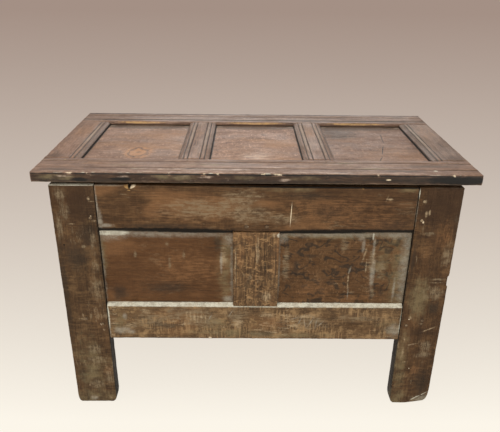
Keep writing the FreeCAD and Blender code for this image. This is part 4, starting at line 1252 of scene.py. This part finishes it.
class COFFER_OT_add_floor(bpy.types.Operator):
    """Add the floor boards inside the carcase"""

    bl_idname = "coffer.add_floor"
    bl_label = "Floor boards"

    def execute(self, context):
        timber = context.scene.coffer_timber
        play = 0.0002
        for number in range(1, 6):
            node = f"floor_board_{number}"
            low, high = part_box(node)
            low.y, high.y = end_inner_front + play, end_inner_rear - play
            look = Look("dry", Y, Z, seed=22 + number, figure=0.35, russet=0, rub=0.3, gloss=0.18)
            board(node, "carcase", "oak_board", low, high, look, runs=(Y,),
                  steps=[timber.step * 1.5] * 3)
        return {"FINISHED"}


# ---------------------------------------------------------------- pegs and ironwork


def solids(node):
    """The corner boxes of the separate solids of a CAD node, in order of their places."""
    mesh = bmesh.new()
    mesh.from_mesh(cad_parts[node].data)
    bmesh.ops.remove_doubles(mesh, verts=mesh.verts, dist=SNAP)
    boxes, waiting = [], set(mesh.verts)
    while waiting:
        group, edge_of_group = set(), [waiting.pop()]
        while edge_of_group:
            vert = edge_of_group.pop()
            group.add(vert)
            for edge in vert.link_edges:
                other = edge.other_vert(vert)
                if other in waiting:
                    waiting.discard(other)
                    edge_of_group.append(other)
        low = Vector(min(vert.co[axis] for vert in group) for axis in range(3))
        high = Vector(max(vert.co[axis] for vert in group) for axis in range(3))
        boxes.append((low, high))
    mesh.free()
    return sorted(boxes, key=lambda box: tuple(round(value, 4) for value in box[0]))


def heads(node, axis, hand, proud, turn):
    """Place, direction and turn of each peg or nail of a node whose heads face along an axis."""
    found = []
    for number, (low, high) in enumerate(solids(node)):
        place, direction = (low + high) / 2, Vector()
        place[axis] = (high[axis] if hand > 0 else low[axis]) + proud * hand
        direction[axis] = hand
        found.append((place, direction, number * turn))
    return found


def place_copies(pattern, places, name):
    """Copy a pattern, each copy with its own mesh, to (place, direction, turn), and join them."""
    copies = []
    for place, direction, turn in places:
        copy = pattern.copy()
        copy.data = pattern.data.copy()
        bpy.context.collection.objects.link(copy)
        aim = direction.to_track_quat("Z", "Y").to_matrix().to_4x4()
        copy.data.transform(Matrix.Translation(place) @ aim @ Matrix.Rotation(turn, 4, "Z"))
        copies.append(copy)
    bpy.data.objects.remove(pattern)
    take_up(*copies)
    bpy.ops.object.join()
    copies[0].name = copies[0].data.name = name
    return copies[0]


def pattern_stock(sides, low_radius, top_radius, long):
    """A round stock whose top lies at the origin, in edit mode."""
    bpy.ops.object.select_all(action="DESELECT")
    bpy.ops.mesh.primitive_cone_add(vertices=sides, radius1=low_radius, radius2=top_radius,
                                    depth=long, location=(0, 0, -long / 2))
    bpy.ops.object.transform_apply(location=True, rotation=False, scale=False)
    bpy.ops.object.mode_set(mode="EDIT")
    return bpy.context.object


def peg_pattern(radius, long):
    """A riven peg that points up: fourteen sides, pared unevenly, and a rounded head."""
    peg = pattern_stock(14, radius, radius, long)
    pick(peg, "FACE", lambda face: face.normal.z > 0.9)
    for inset, rise in ((0.1, 0.0), (0.16, 0.10), (0.3, 0.07)):
        bpy.ops.mesh.inset(thickness=radius * inset)
        bpy.ops.transform.translate(value=(0, 0, radius * rise))
    bpy.ops.object.mode_set(mode="OBJECT")
    for vertex in peg.data.vertices:
        angle = math.atan2(vertex.co.y, vertex.co.x)
        vertex.co.xy *= 1 - 0.05 * (1 + math.sin(3 * angle + 1)) * 0.5
    note_share(peg, "arris", lambda co: float(co.xy.length > radius * 0.8))
    bpy.ops.object.shade_smooth_by_angle(angle=math.radians(40))
    return peg


class COFFER_OT_add_pegs(bpy.types.Operator):
    """Add the pegs of every joint, their heads nearly flush with the worn wood"""

    bl_idname = "coffer.add_pegs"
    bl_label = "Pegs"

    def execute(self, context):
        material = peg_oak()
        groups = {
            "front_frame_pegs": ("carcase", Y, -1),
            "rear_frame_pegs": ("carcase", Y, 1),
            "left_end_pegs": ("carcase", X, -1),
            "right_end_pegs": ("carcase", X, 1),
            "lid_pegs": ("lid", Z, 1),
        }
        for node, (body, axis, hand) in groups.items():
            proud = -0.0008 if body == "lid" else 0.0004
            places = heads(node, axis, hand, proud, turn=1.3)
            pegs = place_copies(peg_pattern(radius=0.0041, long=0.02), places, f"{node}_oak")
            hand_over(pegs, body, node, material)
        return {"FINISHED"}


def forge(node, body, material):
    """A hinge part from a merged copy of its solid, with hammered edges."""
    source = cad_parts[node]
    piece = bpy.data.objects.new(f"{node}_iron", source.data.copy())
    bpy.context.collection.objects.link(piece)
    take_up(piece)
    bpy.ops.object.mode_set(mode="EDIT")
    bpy.ops.mesh.select_all(action="SELECT")
    bpy.ops.mesh.remove_doubles(threshold=SNAP)
    bpy.ops.mesh.dissolve_limited(angle_limit=math.radians(1))
    bpy.ops.object.mode_set(mode="OBJECT")
    bevel = piece.modifiers.new("Hammered", "BEVEL")
    bevel.limit_method = "ANGLE"
    bevel.angle_limit = math.radians(50)
    bevel.width = 0.0007
    bevel.segments = 2
    bpy.ops.object.modifier_apply(modifier=bevel.name)
    low, high = (Vector(corner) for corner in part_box(node))

    def second_gap(co):
        return sorted(min(co[axis] - low[axis], high[axis] - co[axis]) for axis in range(3))[1]

    rub_reach = 0.002
    note_share(piece, "arris", lambda co: 1 - second_gap(co) / rub_reach)
    bpy.ops.object.shade_smooth_by_angle(angle=math.radians(35))
    hand_over(piece, body, node, material)


class COFFER_OT_add_hinges(bpy.types.Operator):
    """Add the straps, the leaves and the pins of the two hinges"""

    bl_idname = "coffer.add_hinges"
    bl_label = "Hinges"

    def execute(self, context):
        material = wrought_iron()
        for side, _ in SIDES:
            for part, body in (("strap", "lid"), ("leaf", "carcase"), ("pin", "carcase")):
                forge(f"{side}_hinge_{part}", body, material)
        return {"FINISHED"}


class COFFER_OT_add_nails(bpy.types.Operator):
    """Add the rose-headed nails of the hinges"""

    bl_idname = "coffer.add_nails"
    bl_label = "Nails"

    def execute(self, context):
        material = bpy.data.materials.get("wrought_iron") or wrought_iron()
        for side, _ in SIDES:
            for kind, body, axis, hand in (("strap", "lid", Z, -1), ("leaf", "carcase", Y, 1)):
                node = f"{side}_{kind}_nails"
                places = heads(node, axis, hand, proud=0, turn=0.9)
                nails = place_copies(self.rose_head(), places, f"{node}_iron")
                hand_over(nails, body, node, material)
        return {"FINISHED"}

    def rose_head(self):
        """A nail that points up: a head hammered into five lobes, and a thin shank."""
        nail = pattern_stock(sides=10, low_radius=0.0059, top_radius=0.0018, long=0.0024)
        shank_inset, shank_length = 0.0040, 0.014
        pick(nail, "FACE", lambda face: face.normal.z < -0.9)
        bpy.ops.mesh.inset(thickness=shank_inset)
        bpy.ops.mesh.extrude_region_move(TRANSFORM_OT_translate={"value": (0, 0, -shank_length)})
        bpy.ops.object.mode_set(mode="OBJECT")
        for vertex in nail.data.vertices:
            if vertex.co.z > -0.003:
                angle = math.atan2(vertex.co.y, vertex.co.x)
                vertex.co.xy *= 0.94 + 0.05 * math.sin(5 * angle)
        note_share(nail, "arris", lambda co: 1.0 if co.z > -0.0005 else 0.2)
        bpy.ops.object.shade_smooth_by_angle(angle=math.radians(20))
        return nail


# ---------------------------------------------------------------- the lid

under = (Z, 630, 627.5)


def opening_share(x):
    """How far a place lies between the ends of the lid panel beside it, from 0 to 1."""
    for side in ("left", "centre", "right"):
        low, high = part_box(f"lid_{side}_panel")
        start, end = low.x + GROOVE, high.x - GROOVE
        if start < x < end:
            return (x - start) / (end - start)
    return None


class COFFER_OT_add_lid_rails(bpy.types.Operator):
    """Add the front and back rails of the lid, with scratched lines and stopped chamfers"""

    bl_idname = "coffer.add_lid_rails"
    bl_label = "Lid rails"

    def execute(self, context):
        timber, mouldings = context.scene.coffer_timber, context.scene.coffer_mouldings
        # The edge tints are painted shade on the front and back faces of the lid.
        for node, hand, look, chips in (
            ("lid_front_rail", -1, Look("lid", X, Z, seed=30, figure=0.15, scuffs=0.3, russet=0.12,
                                        rub=0.2, gloss=0.52, inside=under,
                                        edge=(Y, -263.4, -264.4, (0.29, 0.255, 0.20)),
                                        marks=lid_front_marks, level=0.96),
             lid_front_chips),
            ("lid_back_rail", 1, Look("lid", X, Z, seed=31, figure=0.15, scuffs=0.3, russet=0.12,
                                      rub=0.3, gloss=0.52, inside=under,
                                      edge=(Y, 263.4, 264.4, (0.5, 0.5, 0.45)),
                                      marks=lid_back_marks, level=0.9), ()),
        ):
            low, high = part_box(node)
            outer, inner = (low.y, high.y) if hand < 0 else (high.y, low.y)
            beside = 0.009
            half_line = mouldings.line_width / 2
            places = [outer - line * hand for line in (mouldings.rail_outer, mouldings.rail_inner)]

            def shape(bench):
                bench.score(Y, inner + beside * hand)
                bench.score(Z, bench.high.z - beside)
                bench.plough(Y, Z, bench.high.z, half_line, mouldings.line_depth, *places)

            def width(middle, angle):
                if near(middle.y, outer) and near(middle.z, high.z):
                    return mouldings.nosing
                on_inner = near(middle.y, inner) and near(middle.z, high.z)
                share = opening_share(middle.x) if on_inner else None
                if share is not None:
                    arc = 1 - abs(2 * share - 1) ** 2.4
                    return max(mouldings.lid_chamfer * arc, timber.shoulder)
                at_corner = abs(middle.x) > lid_span[1] - SNAP and near(middle.y, outer)
                return mouldings.lid_corner if at_corner else None

            board(node, "lid", "oak_frame", low, high, look, shape, width, (X, Y), chips,
                  steps=(0.006, 0.0085, 0.0085), lines=(Y, places, half_line))
        return {"FINISHED"}


lid_front_marks = (
    *on_face(
        Y, LID_EDGE, 5,
        black=((0, 647.4, 900, 2.4), (-390, 634, 26, 7), (-300, 636, 34, 6), (450, 638, 110, 14)),
        film=((-440, 640, 60, 10), (-190, 640, 70, 10), (-30, 640, 50, 10), (110, 640, 50, 8)),
        dark=((330, 638, 140, 14), (-350, 632, 200, 7), (40, 632, 300, 7), (420, 638, 160, 14)),
        worn=((-294, 641, 18, 5), (-425, 642, 20, 4), (-110, 641, 24, 4), (60, 636, 20, 5)),
        raw=((290, 638.5, 8, 2.4, 4),)),
    *on_face(
        Z, LID_TOP, 6,
        worn=((-20, -257, 640, 6, 3), (34, -222, 40, 6), (-160, -238, 220, 7)),
        film=((-312, -214, 44, 9), (-272, -236, 34, 7), (252, -225, 60, 7), (-118, -208, 60, 10),
              (190, -190, 60, 10)),
        haze=((-273, -237, 14, 3, 5),),
        russet=((-360, -200, 60, 14), (60, -190, 140, 14)),
        dark=((-440, -246, 60, 10), (400, -206, 90, 14), (330, -242, 60, 6)),
        dust=((400, -238, 7, 4.6, 5),)),
    *on_face(
        Y, -264, 3,
        dust=((-430, 650.6, 28, 1.8), (-372, 650.6, 22, 1.6), (-290, 650.6, 60, 1.2),
              (-105, 650.6, 22, 1.4), (26, 650.6, 34, 2.2, 4), (392, 650.6, 30, 1.6),
              (446, 650.6, 12, 1.4))),
)
lid_front_chips = tuple(
    ((x, front_rail_box[0].y, lid_top), (reach, 0.0024, 0.0021))
    for x, reach in ((0.045, 0.026), (0.012, 0.010), (-0.414, 0.018), (-0.372, 0.008),
                     (-0.196, 0.005), (-0.118, 0.012), (-0.088, 0.009), (0.434, 0.010),
                     (0.456, 0.004), (0.268, 0.005), (0.150, 0.005), (-0.030, 0.006)))
lid_back_marks = (
    *on_face(
        Z, LID_TOP, 6,
        black=((0, 256, 1500, 5, 5), (0, 190, 1500, 5, 5)),
        film=((-420, 230, 40, 10),),
        dark=((430, 236, 40, 9),),
        worn=((60, 215, 160, 8),)),
    *on_face(Y, 167, 4, gold=((-325, 648, 90, 5), (10, 648, 115, 5), (290, 648, 110, 5))),
    *on_face(Y, 165, 4, shade=((0, 638, 1500, 9),)),
)


class COFFER_OT_add_lid_uprights(bpy.types.Operator):
    """Add the end stiles and the muntins of the lid, with their scratched mouldings"""

    bl_idname = "coffer.add_lid_uprights"
    bl_label = "Lid stiles and muntins"

    def execute(self, context):
        mouldings = context.scene.coffer_mouldings
        for side, hand in SIDES:
            low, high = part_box(f"lid_{side}_stile")
            inner = high.x if hand < 0 else low.x
            outer = lid_span[0] if hand < 0 else lid_span[1]
            lines = [inner + line * hand for line in (mouldings.near_line, mouldings.far_line)]
            # The edge tint is painted shade on the end face of the lid.
            self.upright(
                f"lid_{side}_stile", outer, inner, lines, [(inner, hand)],
                Look("lid", Y, Z, seed=32 + hand, scuffs=0.15, russet=0.12, rub=0.25, gloss=0.5,
                     inside=under, edge=(X, 497.8 * hand, 499.6 * hand, (0.5, 0.48, 0.42)),
                     marks=lid_stile_marks(hand), contrast=0.8, level=0.90 - 0.07 * hand,
                     warmth=-0.1 - 0.3 * hand), (X, Y))
            left, right = (corner.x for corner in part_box(f"lid_{side}_muntin"))
            lines = [left + mouldings.near_line, left + mouldings.far_line,
                     right - mouldings.far_line, right - mouldings.near_line]
            self.upright(
                f"lid_{side}_muntin", left, right, lines, [(left, 1), (right, -1)],
                Look("lid", Y, Z, seed=35 + hand, figure=0.25, russet=0.15, rub=0.3, gloss=0.5,
                     inside=under, marks=lid_muntin_marks(hand), contrast=0.8, level=0.94), (Y,))
        return {"FINISHED"}

    def upright(self, node, outer, inner, lines, moulded, look, runs):
        """A board between the rails, with scratched lines and a worn ovolo on moulded edges."""
        mouldings = bpy.context.scene.coffer_mouldings
        left, right = sorted((outer, inner))
        half_line = mouldings.line_width / 2
        ovolo = ((0.0, 1.0), (0.15, 0.66), (0.36, 0.32), (0.62, 0.08), (0.88, 0.0))

        def shape(bench):
            bench.plough(X, Z, lid_top, half_line, mouldings.line_depth, *lines)
            for edge, hand in moulded:
                for share, fall in ovolo:
                    place = edge + mouldings.ovolo_width * share * hand
                    bench.score(X, place)
                    bench.push(lambda co: near(co.z, lid_top) and near(co.x, place),
                               (0, 0, -mouldings.ovolo_drop * fall))

        board(node, "lid", "oak_frame", (left, lid_shoulder, lid_underside),
              (right, -lid_shoulder, lid_top), look, shape, runs=runs, lines=(X, lines, half_line))


def lid_stile_marks(hand):
    marks = (
        # Painted shadow on the wall beside the panel.
        *on_face(Z, 643, 6, black=((414.5 * hand, 0, 3.4, 400),)),
        *on_face(Z, 650, 8, umber=((420 * hand, 0, 11, 400),)),
        *on_face(
            Z, LID_TOP, 6,
            haze=((433.5 * hand, 40, 4, 200, 4),),
            russet=((466 * hand, 60, 34, 80),),
            umber=((476 * hand, -150, 30, 30),)),
    )
    return marks + (on_face(Z, 647, 5, raw=((-412, -146, 4, 8),)) if hand < 0 else ())


def lid_muntin_marks(hand):
    return (
        # Painted shadow on the walls beside the panels.
        *on_face(Z, 643, 6, black=((111 * hand, 0, 2.6, 400), (186 * hand, 0, 2.6, 400))),
        *on_face(Z, 648, 6, umber=((114 * hand, 0, 7, 400), (183 * hand, 0, 7, 400))),
        *on_face(
            Z, LID_TOP, 6,
            haze=((168 * hand, 20, 3, 200), (129 * hand, 20, 3, 200)),
            russet=((150 * hand, 60, 26, 70),)),
    )


class COFFER_OT_add_lid_panels(bpy.types.Operator):
    """Add the three panels of the lid"""

    bl_idname = "coffer.add_lid_panels"
    bl_label = "Lid panels"

    def execute(self, context):
        thin = (Z, 635, 633)
        looks = {
            "left": Look(
                "lid", X, Z, seed=40, figure=0.8, scuffs=0.14, russet=0.4, gloss=0.5, inside=thin,
                marks=lid_panel_marks(-415, -186.5, russet=((-231, 10, 70, 120), (-291, -95, 60, 40)),
                                      umber=((-389, 150, 30, 30),)),
                knot=((-291, -92, 642), (46, 62, 60)), contrast=0.8, level=1.1),
            "centre": Look(
                "lid", X, Z, seed=41, figure=1.1, scuffs=0.12, russet=0.55, gloss=0.5, inside=thin,
                marks=lid_panel_marks(-110.5, 110.5, russet=((-10, -80, 140, 100),),
                                      worn=((0, -110, 60, 40),)),
                contrast=0.8, level=1.14, warmth=0.25),
            "right": Look(
                "lid", X, Z, seed=42, figure=0.8, scuffs=0.12, russet=0.25, gloss=0.5, inside=thin,
                marks=lid_panel_marks(186.5, 415, russet=((372, -80, 60, 80),),
                                      dark=((225, 90, 90, 90),),
                                      black=((342, 50, 1.6, 66, 4, -6),
                                             (322, -55, 1.6, 62, 4, -14),
                                             (301, -132, 1.6, 38, 4, -22))),
                contrast=0.8, level=0.88, warmth=0.4),
        }
        for side, look in looks.items():
            make_panel(f"lid_{side}_panel", "lid", Z, 1, look)
        return {"FINISHED"}


def lid_panel_marks(left, right, **own):
    """Painted shadow and shade under the back rail and along the sides and corners of one lid panel,
    a dark line at its front, dust in its back corners, and marks of its own.
    """
    middle, half = (left + right) / 2, (right - left) / 2
    return (
        *on_face(
            Z, LID_PANEL, 6,
            # Painted shadow in the back corners and on the walls beside the sides; painted shade
            # under the back rail.
            black=((left, 170, 90, 16), (right, 170, 90, 16), (left - 1, 0, 5, 400),
                   (right + 1, 0, 4, 400)),
            shade=((middle, 150, half * 1.8, 40),),
            dark=((middle, -168, half * 2, 10),),
            haze=((left + 9, 152, 14, 9, 5), (right - 9, 152, 12, 9, 5))),
        *on_face(Z, LID_PANEL, 6, **own),
    )


# ---------------------------------------------------------------- add-on

operators = (
    COFFER_OT_add_stage,
    COFFER_OT_add_stiles,
    COFFER_OT_add_top_rails,
    COFFER_OT_add_bottom_rails,
    COFFER_OT_add_muntins,
    COFFER_OT_add_wall_panels,
    COFFER_OT_add_floor,
    COFFER_OT_add_lid_rails,
    COFFER_OT_add_lid_uprights,
    COFFER_OT_add_lid_panels,
    COFFER_OT_add_pegs,
    COFFER_OT_add_hinges,
    COFFER_OT_add_nails,
)
settings = {
    "coffer_timber": CofferTimber,
    "coffer_mouldings": CofferMouldings,
    "coffer_colours": CofferColours,
    "coffer_studio": CofferStudio,
}


class COFFER_PT_sidebar(bpy.types.Panel):
    """Lists the pieces of the coffer and the sizes and colours they are made with"""

    bl_label = "Coffer"
    bl_idname = "COFFER_PT_sidebar"
    bl_space_type = "VIEW_3D"
    bl_region_type = "UI"
    bl_category = "Coffer"

    def draw(self, context):
        for operator in operators:
            self.layout.operator(operator.bl_idname)
        for name in settings:
            group = getattr(context.scene, name)
            box = self.layout.box()
            for key in group.bl_rna.properties.keys():
                if key not in ("rna_type", "name"):
                    box.prop(group, key)


def register():
    for kind in (*settings.values(), *operators, COFFER_PT_sidebar):
        bpy.utils.register_class(kind)
    for name, kind in settings.items():
        setattr(bpy.types.Scene, name, PointerProperty(type=kind))


def unregister():
    for name in settings:
        delattr(bpy.types.Scene, name)
    for kind in reversed((*settings.values(), *operators, COFFER_PT_sidebar)):
        bpy.utils.unregister_class(kind)


def main():
    register()
    for operator in operators:
        getattr(bpy.ops.coffer, operator.bl_idname.split(".")[1])()
    bounds = {"cad": cad_bounds, "visual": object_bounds()}
    {name: [list(corner) for corner in box] for name, box in bounds.items()}


if __name__ == "__main__":
    main()
